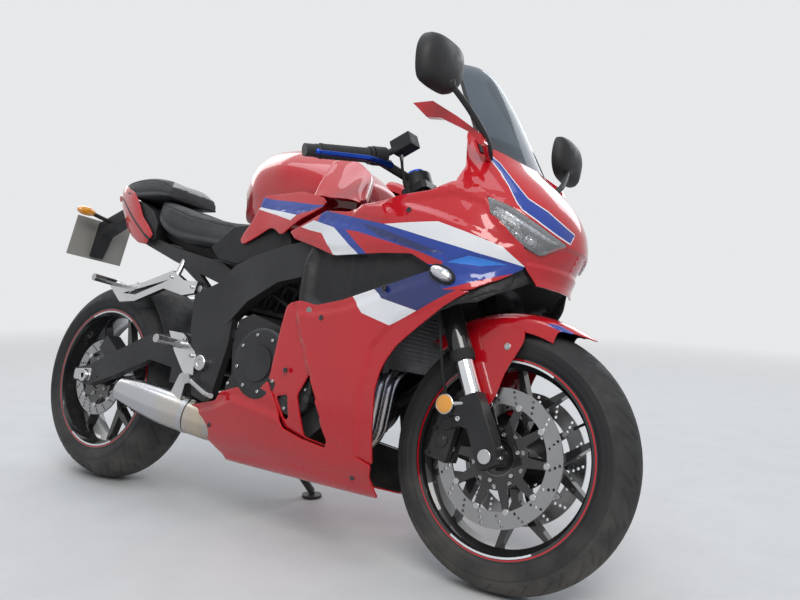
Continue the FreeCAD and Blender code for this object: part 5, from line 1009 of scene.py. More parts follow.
TANK = np.array([
    (508, 842, 1000, 40, 62, 34), (560, 822, 1040, 58, 98, 52), (640, 806, 1052, 74, 128, 70),
    (740, 792, 1044, 108, 146, 84), (840, 790, 1020, 120, 146, 84), (920, 800, 982, 112, 132, 76),
    (968, 812, 946, 92, 104, 62),
], float)
CAP_X = 742.0
CAP_TOP = 1044.0
CAP_RADIUS = 47.0


def swelled(table, rows, columns, ends, closing, centre, section, carved):
    """A closed form through sections along x, from rows of x, foot height, top height and widths.
    Section gives one side's corners and carved changes a ring's points; at both ends the rings
    shrink to a point over so many steps, moving out by the closing distance."""
    first, last = table[0, 0], table[-1, 0]
    at = np.concatenate([np.full(ends, first), np.linspace(first, last, rows), np.full(ends, last)])
    sizes = smooth_run(table[:, 1:], table[:, 0], at=at)
    reach, smallest = closing
    ease = np.linspace(math.pi / 2, smallest, ends + 1)[:-1]
    shrink = np.concatenate([np.cos(ease), np.ones(rows), np.cos(ease[::-1])])
    push = np.concatenate([-reach * np.sin(ease), np.zeros(rows), reach * np.sin(ease[::-1])])
    rings = []
    for x, size, share, step in zip(at, sizes, shrink, push):
        low, tall = size[0], size[1] - size[0]
        side = section(*size, tall)
        ring = through([(-y, z) for y, z in side] + [(y, z) for y, z in reversed(side)], columns, closed=True)
        middle = np.array([0, low + tall * centre])
        ring = middle + (ring - middle) * share
        y, z = carved(x, ring[:, 0].copy(), ring[:, 1].copy(), size, tall, share)
        rings.append(np.stack([np.full(columns, x + step), y, z], -1))
    return closed_rings(np.array(rings))


def tank_section(low, top, foot, full, shoulder, tall):
    """One side of a section through the tank."""
    return [(foot, low), (full - 6, low + tall * 0.34), (full, low + tall * 0.56),
            (full - 12, low + tall * 0.76), (shoulder, low + tall * 0.95), (shoulder * 0.4, top + 1)]


def tank_carving(x, y, z, size, tall, share):
    """A knee hollow in each flank, a seam groove in front and a shallow dish round the filler."""
    knee = np.exp(-((x - 700) / 95) ** 2 - ((z - 900) / 46) ** 2)
    seam_x = 913 + 0.10 * (z - 950)
    groove = np.exp(-((x - seam_x) / 3.4) ** 2) * (z > 850)
    y -= np.sign(y) * (13 * knee + 2.0 * groove) * (np.abs(y) > 30)
    dish = np.exp(-((np.hypot(x - CAP_X, y) - CAP_RADIUS - 3) / 3.0) ** 2) * (z > size[0] + tall * 0.6)
    z -= (2.4 * dish + 1.6 * groove) * (0.94 if share > 0.99 else 1.0)
    return y, z


tank = swelled(TANK, 150, 120, 7, (8, 0.12), 0.5, tank_section, tank_carving)
piece("tank_shell", tank, "chassis", [RED_PAINT], 40, ["fuel_tank"])
CAP_PROFILE = [(0.5, 9.2), (9, 9.0), (10, 7.0), (12, 6.8), (13, 8.6), (33, 7.8), (35, 6.2), (37, 6.2),
               (38, 7.4), (43, 6.8), (46.5, 5.0), (CAP_RADIUS, 2.5), (CAP_RADIUS, -4), (0.5, -4)]
cap = lathe(CAP_PROFILE, 72, (CAP_X, 0, CAP_TOP), (0.03, 0, 1))
piece("filler_cap_ring", cap, "chassis", [GLOSS_BLACK], 28, ["filler_cap"])

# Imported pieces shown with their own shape: triangles joined, edges rounded. Columns: node, look,
# rounding in mm.

FINISHED = [
    ("front_rim", GLOSS_BLACK, 1.6), ("rear_rim", GLOSS_BLACK, 1.6), ("front_discs", DISC_STEEL, 0),
    ("rear_disc", DISC_STEEL, 0), ("rear_sprocket", STEEL, 0), ("fork_tubes", GLOSS_BLACK, 1.0),
    ("fork_sliders", CHROME, 0), ("fork_feet", CALIPER_BLACK, 3.5), ("front_axle", STEEL, 1.0),
    ("triple_clamps", SATIN_BLACK, 2.0), ("handlebars", SATIN_BLACK, 1.0), ("hand_levers", BLUE_LEVER, 0),
    ("bar_controls", PLASTIC, 2.5), ("front_calipers", CALIPER_BLACK, 3.0), ("radiator", FIN_METAL, 0.4),
    ("swingarm", SATIN_BLACK, 6.0), ("rear_axle", STEEL, 1.2), ("shock_absorber", SATIN_BLACK, 0),
    ("main_frame", SATIN_BLACK, 4.0), ("engine_block", ENGINE_BLACK, 1.6), ("cylinder_head", CAST_GREY, 2.0),
    ("exhaust_headers", HEADER_CHROME, 0), ("seat_rails", SATIN_BLACK, 1.5), ("side_covers", PLASTIC, 5.0),
    ("foot_plates", POLISHED, 2.2), ("foot_pedals", STEEL, 0), ("pillion_hangers", POLISHED, 3.5),
    ("foot_pegs", STEEL, 1.2), ("rear_caliper", CALIPER_BLACK, 3.0), ("rear_hugger", PLASTIC, 1.0),
    ("nose_stay", SATIN_BLACK, 2.0), ("mirror_blades", RED_PAINT, 3.0), ("tail_tray", PLASTIC, 2.5),
    ("tail_lamp", RED_LENS, 2.0), ("number_plate", BLANK_PLATE, 0.6), ("side_stand", SATIN_BLACK, 1.5),
]


def finished(node, surface_look, width):
    """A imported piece's surface as a new piece: its loose triangles joined, flat ones run together."""
    source = frame["nodes"][node]
    joined = bmesh.new()
    joined.from_mesh(source.data)
    bmesh.ops.remove_doubles(joined, verts=joined.verts, dist=2e-5)
    bmesh.ops.dissolve_limit(joined, angle_limit=math.radians(0.5), verts=joined.verts, edges=joined.edges)
    name = node + "_surface"
    mesh = bpy.data.meshes.new(name)
    joined.to_mesh(mesh)
    joined.free()
    if "custom_normal" in mesh.attributes:
        mesh.attributes.remove(mesh.attributes["custom_normal"])
    mesh.materials.clear()
    mesh.materials.append(surface_look)
    mesh.polygons.foreach_set("material_index", np.zeros(len(mesh.polygons), np.int32))
    thing = shown(name, mesh, source["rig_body"], 32, [node])
    if width:
        rounded(thing, width, 34)
    return thing


for node, surface_look, width in FINISHED:
    finished(node, surface_look, width)


# Bolts and small turned parts

def bolt(at, way, radius=5.0, height=4.0):
    """A hexagonal head with a chamfer, standing on a round washer."""
    head = [(0.4, height), (radius * 0.86, height), (radius, height * 0.82), (radius, 0.6), (0.4, 0.6)]
    washer = [(0.4, 1.2), (radius * 1.25, 1.2), (radius * 1.35, 0.7), (radius * 1.35, -1.5), (0.4, -1.5)]
    return gathered([lathe(head, 6, at, way), lathe(washer, 18, at, way)])


def socket_bolt(at, way, radius=5.0, height=5.0, slot=0):
    """A round head with a hollow in the middle."""
    head = [(0.4, height * 0.35), (radius * 0.5, height * 0.35), (radius * 0.55, height),
            (radius * 0.86, height), (radius, height * 0.8), (radius, -2), (0.4, -2)]
    return lathe(head, 16, at, way, slot)


def bolts(name, body, places, surface=STEEL, made=socket_bolt):
    """A set of bolts on one body; places give point, direction, radius and height."""
    return piece(name, gathered([made(*place) for place in places]), body, [surface])


def around(middle, radius, count, start=0.0):
    """Points evenly round a circle in a plane across the machine."""
    turn = np.radians(start) + np.linspace(0, FULL_TURN, count, endpoint=False)
    flat = np.stack([np.cos(turn) * radius, np.zeros(count), np.sin(turn) * radius], -1)
    return np.asarray(middle, float) + flat


# Wheels

TREAD_PITCHES = 20
TREAD_DEPTH = 3.4
# Slits in one pitch: place, where it starts and ends between middle and edge, slant, half width.
TREAD_SLITS = ((0.0, 0.10, 0.80, 1.05, 0.040), (0.5, 0.42, 0.90, 0.80, 0.032),
               (0.78, 0.16, 0.44, 0.75, 0.030))
CROWN_COLUMNS = 45
TYRE_STEPS = 720
BEAD_RADIUS = 228.5


def tread_depth(turn, across, half):
    """How deep the tread is cut at an angle and a distance from the middle, in mm: in each pitch a
    long slit slants from the crown to the shoulder, short ones lie between, and sides are staggered."""
    out = np.abs(across) / half
    pitch = turn / FULL_TURN * TREAD_PITCHES + np.where(across > 0, 0.5, 0.0)
    depth = np.zeros(np.broadcast(turn, across).shape)
    for shift, low, high, slant, wide in TREAD_SLITS:
        lie = (pitch - shift - out * slant) % 1.0
        lie = np.minimum(lie, 1.0 - lie)
        ends = soft_step(out - low, 0.05) * soft_step(high - out, 0.05)
        depth = np.maximum(depth, soft_step(wide * 1.6 - lie, wide) * ends)
    return depth * TREAD_DEPTH


def tyre(name, middle, radius, half, drop, rim_half, body, node):
    """A round crown r = R - (c - sqrt(c^2 - y^2)) with cut tread, bulged walls with two raised
    rings, and the bead on the rim; the section is turned round the axle."""
    crown = crown_radius(half, drop)
    across = half * np.sin(np.linspace(-1, 1, CROWN_COLUMNS) * math.pi / 2 * 0.985)
    top = radius - (crown - np.sqrt(crown * crown - across * across))
    wall_r = np.linspace(radius - drop - 1.5, BEAD_RADIUS, 13)[1:]
    share = (wall_r - BEAD_RADIUS) / (radius - drop - BEAD_RADIUS)
    wall_y = rim_half + 0.6 + (half - rim_half - 0.8) * np.sin(share * math.pi / 2) ** 0.8
    wall_y += 0.9 * np.exp(-((wall_r - 236) / 2.2) ** 2) + 0.7 * np.exp(-((wall_r - 250) / 1.6) ** 2)
    bead = [(225, rim_half - 2), (219.4, rim_half - 4.5)]
    section = np.array(list(zip(top, across)) + list(zip(wall_r, wall_y)) + bead
                       + [(r, -y) for r, y in reversed(bead)] + list(zip(wall_r[::-1], -wall_y[::-1])))
    turn = np.linspace(0, FULL_TURN, TYRE_STEPS, endpoint=False)[:, None]
    cut = np.zeros((TYRE_STEPS, len(section)))
    cut[:, :CROWN_COLUMNS] = tread_depth(turn, across[None, :], half)
    reach = section[None, :, 0] - cut
    width = np.broadcast_to(section[:, 1], reach.shape)
    grid = np.stack([np.cos(turn) * reach, width, np.sin(turn) * reach], -1)
    faces = grid_faces(TYRE_STEPS, len(section), around=True, along=True)
    column = np.arange(len(faces)) % len(section)
    slots = np.where((column >= 3) & (column <= 40), 0, 1)
    part = solid((grid.reshape(-1, 3) + middle, faces, slots))
    return piece(name, part, body, [TYRE_TREAD, TYRE_WALL], 32, [node])


tyre("front_tyre_tread", FRONT_AXLE, FRONT_RADIUS, FRONT_HALF, FRONT_DROP, FRONT_RIM_HALF, "front_wheel",
     "front_tyre")
tyre("rear_tyre_tread", REAR_AXLE, REAR_RADIUS, REAR_HALF, REAR_DROP, REAR_RIM_HALF, "rear_wheel",
     "rear_tyre")


def band(middle, y, inner, outer, count=160, start=0.0, sweep=360.0):
    """A thin flat ring, or part of one, standing 0.5 mm proud of a face across the machine."""
    top = y + math.copysign(0.5, y)
    profile = [(inner, y), (outer, y), (outer, top), (inner, top)]
    points, faces, _ = turned(profile, count, middle, start=math.radians(start), sweep=math.radians(sweep))
    if sweep < 360:
        faces = [list(face) for face in faces] + [[3, 2, 1, 0], list(range(len(points) - 4, len(points)))]
    return solid((points, faces, None))


def rim_lines(name, middle, rim_half, body):
    """A red line round each rim flange and white arcs inside it, above and below."""
    parts = []
    for y in (-rim_half, rim_half):
        parts.append(band(middle, y, 219.5, 223.0))
        parts += [numbered(band(middle, y, 213.6, 218.0, 40, start, 56.0), 1) for start in (62.0, 242.0)]
    return piece(name, gathered(parts), body, [RED_PAINT, WHITE_PAINT])


rim_lines("front_rim_lines", FRONT_AXLE, FRONT_RIM_HALF, "front_wheel")
rim_lines("rear_rim_lines", REAR_AXLE, REAR_RIM_HALF, "rear_wheel")


def carrier(y, middle, inner, arms, thick=5.6):
    """The black middle of a disc: a toothed ring whose arms reach the braking ring."""
    turn = np.linspace(0, FULL_TURN, arms * 12, endpoint=False)
    reach = 72 + (inner - 66) * soft_step(np.cos(turn * arms) - 0.35, 0.35)
    star = np.stack([np.cos(turn) * reach + middle[0], np.sin(turn) * reach + middle[2]], -1)
    hole = ring_of((middle[0], middle[2]), 41, 48)
    windows = [ring_of(point[[0, 2]], 5.5, 14) for point in around(middle, 64.0, arms, 180 / arms)]
    return extruded(star, y - thick / 2, y + thick / 2, [hole, *windows])


def disc_parts(name, middle, planes, inner, arms, body):
    """Black disc middles and the bright bobbins that hold each braking ring."""
    bobbin = [(0.4, -4.4), (6.8, -4.4), (7.6, -3.6), (7.6, 3.6), (6.8, 4.4), (0.4, 4.4)]
    parts = []
    for y in planes:
        side = math.copysign(1.0, y)
        parts.append(carrier(y, middle, inner, arms))
        parts += [lathe(bobbin, 18, point + [0, y, 0], (0, 1, 0), 1)
                  for point in around(middle, inner + 1.0, arms)]
        parts += [socket_bolt(point + [0, y + side * 2.8, 0], (0, side, 0), slot=1)
                  for point in around(middle, 52.0, 6, 20)]
    return piece(name, gathered(parts), body, [GLOSS_BLACK, STEEL])


disc_parts("front_disc_carriers", FRONT_AXLE, (-64.0, 64.0), 118.0, 10, "front_wheel")
disc_parts("rear_disc_carrier", REAR_AXLE, (-84.0,), 88.0, 8, "rear_wheel")


def valve(name, middle, body):
    """A rubber valve stem that stands in from the rim's well."""
    stem = [(0.4, 0), (5.0, 0), (3.4, -4), (3.0, -24), (4.2, -25), (4.2, -34), (0.4, -34)]
    way = np.array([math.cos(0.55), 0.0, math.sin(0.55)])
    return piece(name, lathe(stem, 14, middle + way * 200, way), body, [RUBBER])


valve("front_valve", FRONT_AXLE, "front_wheel")
valve("rear_valve", REAR_AXLE, "rear_wheel")


# Fork, bars and what they carry

def on_legs(name, profile, surface):
    """A profile of (radius, height above the axle) turned round each fork leg."""
    parts = [lathe(profile, 48, steer_point(FORK_OFFSET, side * LEG_SPREAD, 0.0), UPWARD) for side in SIDES]
    return piece(name, gathered(parts), "steering", [surface])


on_legs("fork_seals", [(20.6, 222), (26.0, 222), (27.4, 226), (28.4, 234), (28.4, 244), (27.2, 247),
                       (20.6, 247)],
        RUBBER)
on_legs("fork_caps", [(0.5, 721), (7, 721), (9, 717), (19, 717), (21, 719), (24, 718), (26, 714), (26, 708),
                      (0.5, 708)], BLUE_LEVER)
clamp_bolts = [(steer_point(75.0, side * 88.0, height), AHEAD, 4.5, 5.0) for height in (448.0, 464.0, 664.0)
               for side in SIDES]
foot_bolts = [(steer_point(66.0, side * LEG_SPREAD + shift, low), AHEAD, 4.5, 5.0) for side in SIDES
              for low, shift in ((-12.0, -9.0), (12.0, 9.0))]
side_bolts = [(steer_point(-2.0, side * 126.0, 98.0), [0, side, 0], 6.0, 5.0) for side in SIDES]
bolts("fork_bolts", "steering", clamp_bolts + foot_bolts + side_bolts)

GUARD_PROFILE = [(-75, 283), (-75.5, 300), (-74, 312), (-66, 319), (-52, 325), (-26, 330), (0, 331.5)]
GUARD_ROWS, GUARD_COLUMNS = 64, 49


def mudguard():
    """A shell over the tyre: the profile across is carried round the axle from 46 degrees behind
    upright to 31 ahead. It narrows to a point in front, where it has a stripe on either side, and a
    crease runs along each shoulder."""
    half = np.array(GUARD_PROFILE, float)
    profile = through(np.vstack([half, half[:-1][::-1] * [-1, 1]]), GUARD_COLUMNS)
    share = np.linspace(0, 1, GUARD_ROWS)[:, None]
    out = np.abs(profile[:, 0])[None, :] / 75.0
    start = np.radians(-46 + 7 * out ** 2)
    end = np.radians(31 - 12 * out ** 2)
    turn = start + (end - start) * share
    slim = 1 - 0.30 * soft_step(share - 0.68, 0.34)
    reach = profile[:, 1][None, :] - 2.2 * np.exp(-((out - 0.80) / 0.05) ** 2) * (share > 0.05)
    reach = reach - 4.0 * soft_step(share - 0.8, 0.25) * out
    across = np.broadcast_to(profile[:, 0][None, :] * slim, turn.shape)
    grid = np.stack([FRONT_AXLE[0] + np.sin(turn) * reach, across, FRONT_AXLE[2] + np.cos(turn) * reach], -1)
    faces = flipped(grid_faces(GUARD_ROWS, GUARD_COLUMNS))
    row, column = np.divmod(np.arange(len(faces)), GUARD_COLUMNS - 1)
    aside = np.abs(column - 23.5)
    return grid.reshape(-1, 3), faces, np.where((row > 55) & (aside > 9) & (aside < 15), BLUE, RED)


walled(piece("mudguard_shell", mudguard(), "steering", PAINTS, nodes=["front_mudguard"]), 3.0, 0.9)
GUARD_PLATE = [(-172, 242), (-95, 282), (-20, 296), (30, 290), (34, 262), (-4, 190), (-20, 132), (-42, 96),
               (-66, 92), (-78, 118), (-96, 160)]
plate = extruded(softened(np.array(GUARD_PLATE, float), 9) + FRONT_AXLE[[0, 2]], -77.5, -73.5)
rounded(piece("mudguard_plates", both_sides(plate), "steering", [RED_PAINT]), 1.6)
guard_bolts = [((FRONT_AXLE[0] + x, side * 78.0, FRONT_AXLE[2] + z), (0, side, 0), 6.0, 4.0)
               for side in SIDES for x, z in ((-46, 116), (-6, 246))]
bolts("mudguard_bolts", "steering", guard_bolts, STEEL, bolt)


def caliper_at(along, out, y):
    """A point on a front caliper: along the disc's rim, out from the axle, and across."""
    turn = math.radians(168.0)
    radial = np.array([math.cos(turn), 0, math.sin(turn)])
    rim = np.array([-math.sin(turn), 0, math.cos(turn)])
    return FRONT_AXLE + radial * out + rim * along + np.array([0, y, 0])


PISTON_CAP = [(0.5, 6), (9, 6), (11, 4.5), (15.5, 4.5), (17, 3), (17.5, -3), (0.5, -3)]
parts = []
for side in SIDES:
    parts += [lathe(PISTON_CAP, 28, caliper_at(along, 136.0, side * 91.0), (0, side, 0))
              for along in (-30.0, 12.0)]
    parts += [socket_bolt(caliper_at(along, 160.0, side * 91.0), (0, side, 0), 5.5, 5.5)
              for along in (-52.0, -9.0, 50.0)]
piece("caliper_caps", gathered(parts), "steering", [CALIPER_BLACK])

GRIP_START = np.array([1098.0, -235.0, 955.0])
GRIP_END = np.array([1040.0, -368.0, 926.0])
GRIP_LENGTH = 126


def grip():
    """Ribbed rubber over a grip, with a smooth collar at both ends."""
    way = (GRIP_END - GRIP_START) / np.linalg.norm(GRIP_END - GRIP_START)
    along = np.linspace(0, GRIP_LENGTH, GRIP_LENGTH + 1)
    rib = 16.5 + 1.3 * soft_step(np.cos(along * 2 * math.pi / 7.0) + 0.3, 0.5)
    rib = np.where((along < 8) | (along > 118), 18.2, rib)
    return lathe([(15.2, 0)] + list(zip(rib, along)) + [(15.2, GRIP_LENGTH)], 28, GRIP_START + way * 10, way)


piece("grip_rubbers", both_sides(grip()), "steering", [RUBBER])

# Points of the hose: ahead of the steering axis, across, up it.
HOSE = [(50, -176, 738), (34, -160, 700), (30, -147, 660), (30, -147, 570), (30, -147, 480), (24, -143, 340),
        (4, -132, 270), (-20, -112, 210), (-42, -84, 146)]
HOSE_END = [(0.4, -3), (5.4, -3), (5.4, 8), (4.6, 12), (0.4, 12)]
hose = through([steer_point(*row) for row in HOSE], 90)
parts = [tube(hose, 3.6)] + [lathe(HOSE_END, 6, start, towards - start, 1)
                             for start, towards in ((hose[0], hose[1]), (hose[-1], hose[-2]))]
piece("brake_hose_line", gathered(parts), "steering", [RUBBER, STEEL], nodes=["brake_hose"])

REFLECTOR_RIM = [(0.4, -2), (22, -2), (23, 0), (23, 4.5), (21.6, 5.5), (21, 4), (0.4, 4)]
REFLECTOR_LENS = [(0.4, 7), (12, 6.4), (18, 5.2), (21, 3.6), (0.4, 3.4)]
parts = []
for side in SIDES:
    spot = np.array([1334.0, side * 128.0, 399.0])
    parts += [lathe(REFLECTOR_RIM, 40, spot, (0, side, 0)), lathe(REFLECTOR_LENS, 40, spot, (0, side, 0), 1),
              tube([spot, spot + [22, -side * 3, 4], spot + [44, -side * 8, 8]], 5, 10)]
piece("side_reflectors", gathered(parts), "steering", [STEEL, AMBER])

# Mirrors

MIRROR_MIDDLE = np.array([1336.0, -336.0, 1112.0])
MIRROR_OUTLINE = [(-72, -44), (-40, -58), (40, -50), (74, -10), (66, 48), (20, 62), (-50, 52), (-80, 14)]
# Rings from the glass to the front: distance ahead, share of the outline's size.
MIRROR_RINGS = [(-12, 0.88), (-13, 0.955), (-15, 0.985), (-14, 1.0), (-4, 1.0), (6, 0.95), (14, 0.85),
                (20, 0.70), (25, 0.48), (27.5, 0.24), (28, 0.02)]
MIRROR_STEM = [(1364, -134, 960), (1384, -176, 976), (1386, -212, 1000), (1372, -262, 1038),
               (1350, -318, 1078)]


def mirror():
    """A domed head with its glass sunk in the back, on a stem with a collar."""
    ring = through(MIRROR_OUTLINE, 72, closed=True)
    rings = [np.stack([np.full(72, step), ring[:, 0] * share, ring[:, 1] * share], -1)
             for step, share in MIRROR_RINGS]
    points, faces, _ = closed_rings(np.array(rings) + MIRROR_MIDDLE)
    slots = [0] * (len(faces) - 2) + [1, 0]
    stem = tube(through(MIRROR_STEM, 40), np.linspace(8.5, 6.5, 40), 14)
    collar = lathe([(0.4, -6), (13, -6), (14, 0), (9, 10), (0.4, 10)], 20, (1350, -318, 1076),
                   (0.35, 0.5, -0.6))
    return gathered([(points, faces, slots), stem, collar])


piece("mirror_heads", both_sides(mirror()), "chassis", [PLASTIC, MIRROR_GLASS], 34, ["mirrors"])

# Instruments

finished("instrument_panel", PLASTIC, 5.0)
METER_TILT = math.radians(22)
METER_BACK = np.array([-math.cos(METER_TILT), 0, math.sin(METER_TILT)])
METER_UP = np.array([math.sin(METER_TILT), 0, math.cos(METER_TILT)])


def on_meter(points):
    """Plate coordinates (across, out, up) on the meter's face towards the rider."""
    return (np.array([1300.0, 0, 1004.0]) + METER_BACK * (13.0 + points[:, 1:2]) + METER_UP * points[:, 2:3]
            + np.array([0, 1.0, 0]) * points[:, 0:1])


parts = [extruded(softened([(-68, -35), (68, -35), (68, 35), (-68, 35)], 8), -1.0, 1.2, (), on_meter)]
for x, tall in ((-56, 14), (-40, 20), (-24, 26), (-8, 31), (8, 35), (24, 37), (40, 38)):
    bar = softened([(x, -20), (x + 10, -20), (x + 10, -20 + tall), (x, -20 + tall)], 2)
    parts.append(numbered(extruded(bar, 1.0, 1.7, (), on_meter), 1))
piece("meter_face", gathered(parts), "chassis", [DIAL, LIGHT_STRIP])

# Seats. Columns: x, foot height, top height, half widths of foot and crest.

RIDER_SEAT = np.array([(150, 866, 906, 78, 70), (200, 822, 892, 112, 96), (300, 770, 866, 130, 112),
                       (400, 756, 842, 126, 106), (480, 752, 832, 98, 78), (535, 786, 836, 66, 50)], float)
PILLION_SEAT = np.array([(-108, 948, 966, 46, 38), (-60, 930, 976, 72, 60), (60, 908, 980, 96, 80),
                         (150, 908, 972, 102, 86), (196, 908, 950, 98, 82)], float)


def seat_section(low, top, foot, crest, tall):
    """One side of a section through a seat: flat below, crowned above, with full cheeks."""
    return [(foot * 0.86, low), (foot, low + tall * 0.3), (foot * 0.5 + crest * 0.54, low + tall * 0.66),
            (crest, top - 5), (crest * 0.55, top + 2.5)]


def cushion(table, seam_drop, channels=()):
    """A stuffed form with rounded ends. A sewn seam sinks along each shoulder, with a fine double
    stitch, channels (x, depth) cross the top, and its middle is sunk and gently waved."""
    def sewn(x, y, z, size, tall, share):
        """A ring of the form with seam, stitches, channels and sunk middle."""
        low, top, _, crest = size
        high = z > low + tall * 0.45
        seam = np.exp(-((z - (top - seam_drop)) / 1.8) ** 2) * high * (np.abs(y) > crest * 0.6)
        stitch = 0.5 * np.exp(-((z - (top - seam_drop + 5)) / 1.0) ** 2) * (math.cos(x * 1.6) > 0) * high
        y -= np.sign(y) * (2.4 * seam + stitch)
        for place, deep in channels:
            z = z - deep * np.exp(-((x - place - 0.0016 * y * y) / 4.0) ** 2) * high
        z = z - 3.5 * np.exp(-(y / 38.0) ** 2) * high * (share > 0.99) + 1.2 * np.sin(x / 31.0) * high
        return y, z
    return swelled(table, 110, 120, 9, (7, 0.1), 0.45, seat_section, sewn)


rider = piece("rider_cushion", cushion(RIDER_SEAT, 15.0, ((236, 1.8),)), "chassis", [SEAT_COVER], 50,
              ["rider_seat"])
points, faces, _ = cushion(PILLION_SEAT, 13.0)
middles = np.array([points[list(face)].mean(0) for face in faces])
grey = (middles[:, 0] > 96) & (np.abs(middles[:, 1]) < (middles[:, 0] - 92) * 0.85) & (middles[:, 2] > 944)
pillion = piece("pillion_cushion", (points, faces, grey.astype(int)), "chassis", [SEAT_COVER, SEAT_GREY], 50,
                ["pillion_seat"])

# Tail

TAIL_SIDE = [(-122, 962), (-70, 960), (20, 926), (64, 884), (98, 842), (150, 806), (176, 780), (144, 751),
             (98, 757), (53, 778), (2, 813), (-42, 859), (-83, 892), (-105, 919), (-128, 940)]
TAIL_SPLIT = [(-104, 920), (-60, 905), (0, 866), (60, 824), (120, 786), (160, 762), (166, 770), (124, 792),
              (64, 830), (2, 873), (-58, 912), (-102, 926)]
TAIL_PLAN = through([(-131, 0), (-128, 26), (-108, 52), (-50, 78), (40, 100), (176, 118)], 160)


def reach_along(line):
    """Distance along a line of points, from its first to each."""
    return np.concatenate([[0.0], np.cumsum(np.hypot(*np.diff(line, axis=0).T))])


TAIL_REACH = reach_along(TAIL_PLAN)


def tail_sheet(corners):
    """Side-view corners (x, z) as (distance round the tail from its middle, z)."""
    corners = np.asarray(corners, float)
    order = np.argsort(TAIL_PLAN[:, 0])
    return np.stack([np.interp(corners[:, 0], TAIL_PLAN[order, 0], TAIL_REACH[order]), corners[:, 1]], -1)


def tail_panel():
    """The red panels and the piece that joins them behind, on the tail's plan line. The side swells
    between its edges, and a black line splits it."""
    right = tail_sheet(open_run(TAIL_SIDE, 6, 8))
    ring = np.vstack([right, right[::-1] * [-1, 1]])
    split = tail_sheet(spaced(TAIL_SPLIT))
    points, faces, slots = patch(ring, (), [(1, split), (1, split * [-1, 1])], 9)
    swell = np.minimum(depth_in(points, ring), 24.0) / 24.0
    inward = 1.5 * (1 - swell) - 3.0 * swell
    x, y = (np.interp(np.abs(points[:, 0]), TAIL_REACH, TAIL_PLAN[:, column]) for column in (0, 1))
    placed = np.stack([x, np.sign(points[:, 0]) * (y - inward), points[:, 1]], -1)
    first, second, third = (placed[faces[:, corner]] for corner in range(3))
    if np.cross(second - first, third - first)[:, 0].sum() > 0:
        faces = faces[:, ::-1]
    return placed, faces, slots


walled(piece("tail_panels", tail_panel(), "chassis", [RED_PAINT, SATIN_BLACK], nodes=["tail_cowl"]), 4.0, 1.0)

# Silencer. Columns: x, y and height of its line, radius.

SILENCER = np.array([(640, -84, 232, 34), (600, -92, 240, 44), (540, -106, 252, 51), (430, -140, 268, 52),
                     (330, -166, 286, 45), (258, -182, 298, 34)], float)
SILENCER_ROWS, SILENCER_SIDES = 70, 72
MOUTH = [(24, -8), (33.2, -6), (34.8, -2), (34.2, 2), (30, 3.6), (23, 4), (21.4, 2.5), (20.6, -1), (20.2, -4)]
WELL = [(0.4, 0.6), (21.0, 0.6), (21.0, 1.4), (0.4, 1.4)]
FRONT_SLEEVE = [(25, -34), (27, -32), (27, 4), (36, 10), (36, 14), (25, 14)]
STRAP = [(51.4, -9), (52.8, -8), (52.8, 8), (51.4, 9)]


def silencer_parts():
    """A canister of round sections along a curved line, pressed flat above and below, with two
    long creases; a dark outlet is sunk in its cone, and a band and a bracket hold it."""
    run = smooth_run(SILENCER[:, 1:], -SILENCER[:, 0], SILENCER_ROWS)
    line = np.column_stack([np.linspace(SILENCER[0, 0], SILENCER[-1, 0], SILENCER_ROWS), run[:, :2]])
    points, faces, _ = tube(line, run[:, 2], SILENCER_SIDES)
    turn = np.linspace(0, FULL_TURN, SILENCER_SIDES, endpoint=False)[None, :, None]
    press = 1 - 0.055 * np.cos(turn) ** 2
    for crease in (0.9, 4.1):
        press = press - 0.035 * np.exp(-((turn - crease) / 0.13) ** 2)
    row = np.arange(SILENCER_ROWS)
    ends = np.clip(np.minimum(row, row[::-1]) / 10.0, 0, 1)[:, None, None]
    middle = line[:, None]
    rings = middle + (points.reshape(SILENCER_ROWS, SILENCER_SIDES, 3) - middle) * (1 + (press - 1) * ends)
    end, way = line[-1], line[-1] - line[-6]
    bracket = extruded(softened([(436, 300), (486, 292), (500, 372), (470, 376)], 8), -158, -151)
    return gathered([(rings.reshape(-1, 3), faces, None), lathe(MOUTH, 56, end, way),
                     lathe(WELL, 40, end, way, 1), lathe(FRONT_SLEEVE, 48, line[0], line[5] - line[0]),
                     lathe(STRAP, 64, line[27], line[30] - line[24], 2), numbered(bracket, 2)])


piece("silencer_canister", silencer_parts(), "chassis", [SILENCER_STEEL, PLASTIC, STEEL], 34, ["silencer"])

# Drive chain

CHAIN_PITCH = 15.875
CHAIN_Y = 102.0
SPROCKETS = np.array([[625.0, 405.0], REAR_AXLE[[0, 2]]])
FRONT_PITCH_RADIUS, REAR_PITCH_RADIUS = 38.0, 106.2
# Radius, and how far it reaches to either side: the pins of even links, the rollers of odd ones.
CHAIN_PINS = ((2.6, 8.6), (5.0, 4.8))


def chain_pins():
    """Pin places along two arcs round the sprockets and the straight runs between them."""
    front, rear = SPROCKETS
    gap = front - rear
    tilt = math.atan2(gap[1], gap[0])
    spread = math.acos((REAR_PITCH_RADIUS - FRONT_PITCH_RADIUS) / np.hypot(*gap))
    back = np.linspace(tilt + spread, tilt + FULL_TURN - spread, 200)
    ahead = np.linspace(tilt - spread, tilt + spread, 80)
    loop = np.vstack([rear + np.stack([np.cos(back), np.sin(back)], -1) * REAR_PITCH_RADIUS,
                      front + np.stack([np.cos(ahead), np.sin(ahead)], -1) * FRONT_PITCH_RADIUS])
    loop = np.vstack([loop, loop[:1]])
    reach = reach_along(loop)
    count = int(round(reach[-1] / CHAIN_PITCH / 2)) * 2
    at = np.linspace(0, reach[-1], count, endpoint=False)
    return np.stack([np.interp(at, reach, loop[:, axis]) for axis in (0, 1)], -1)


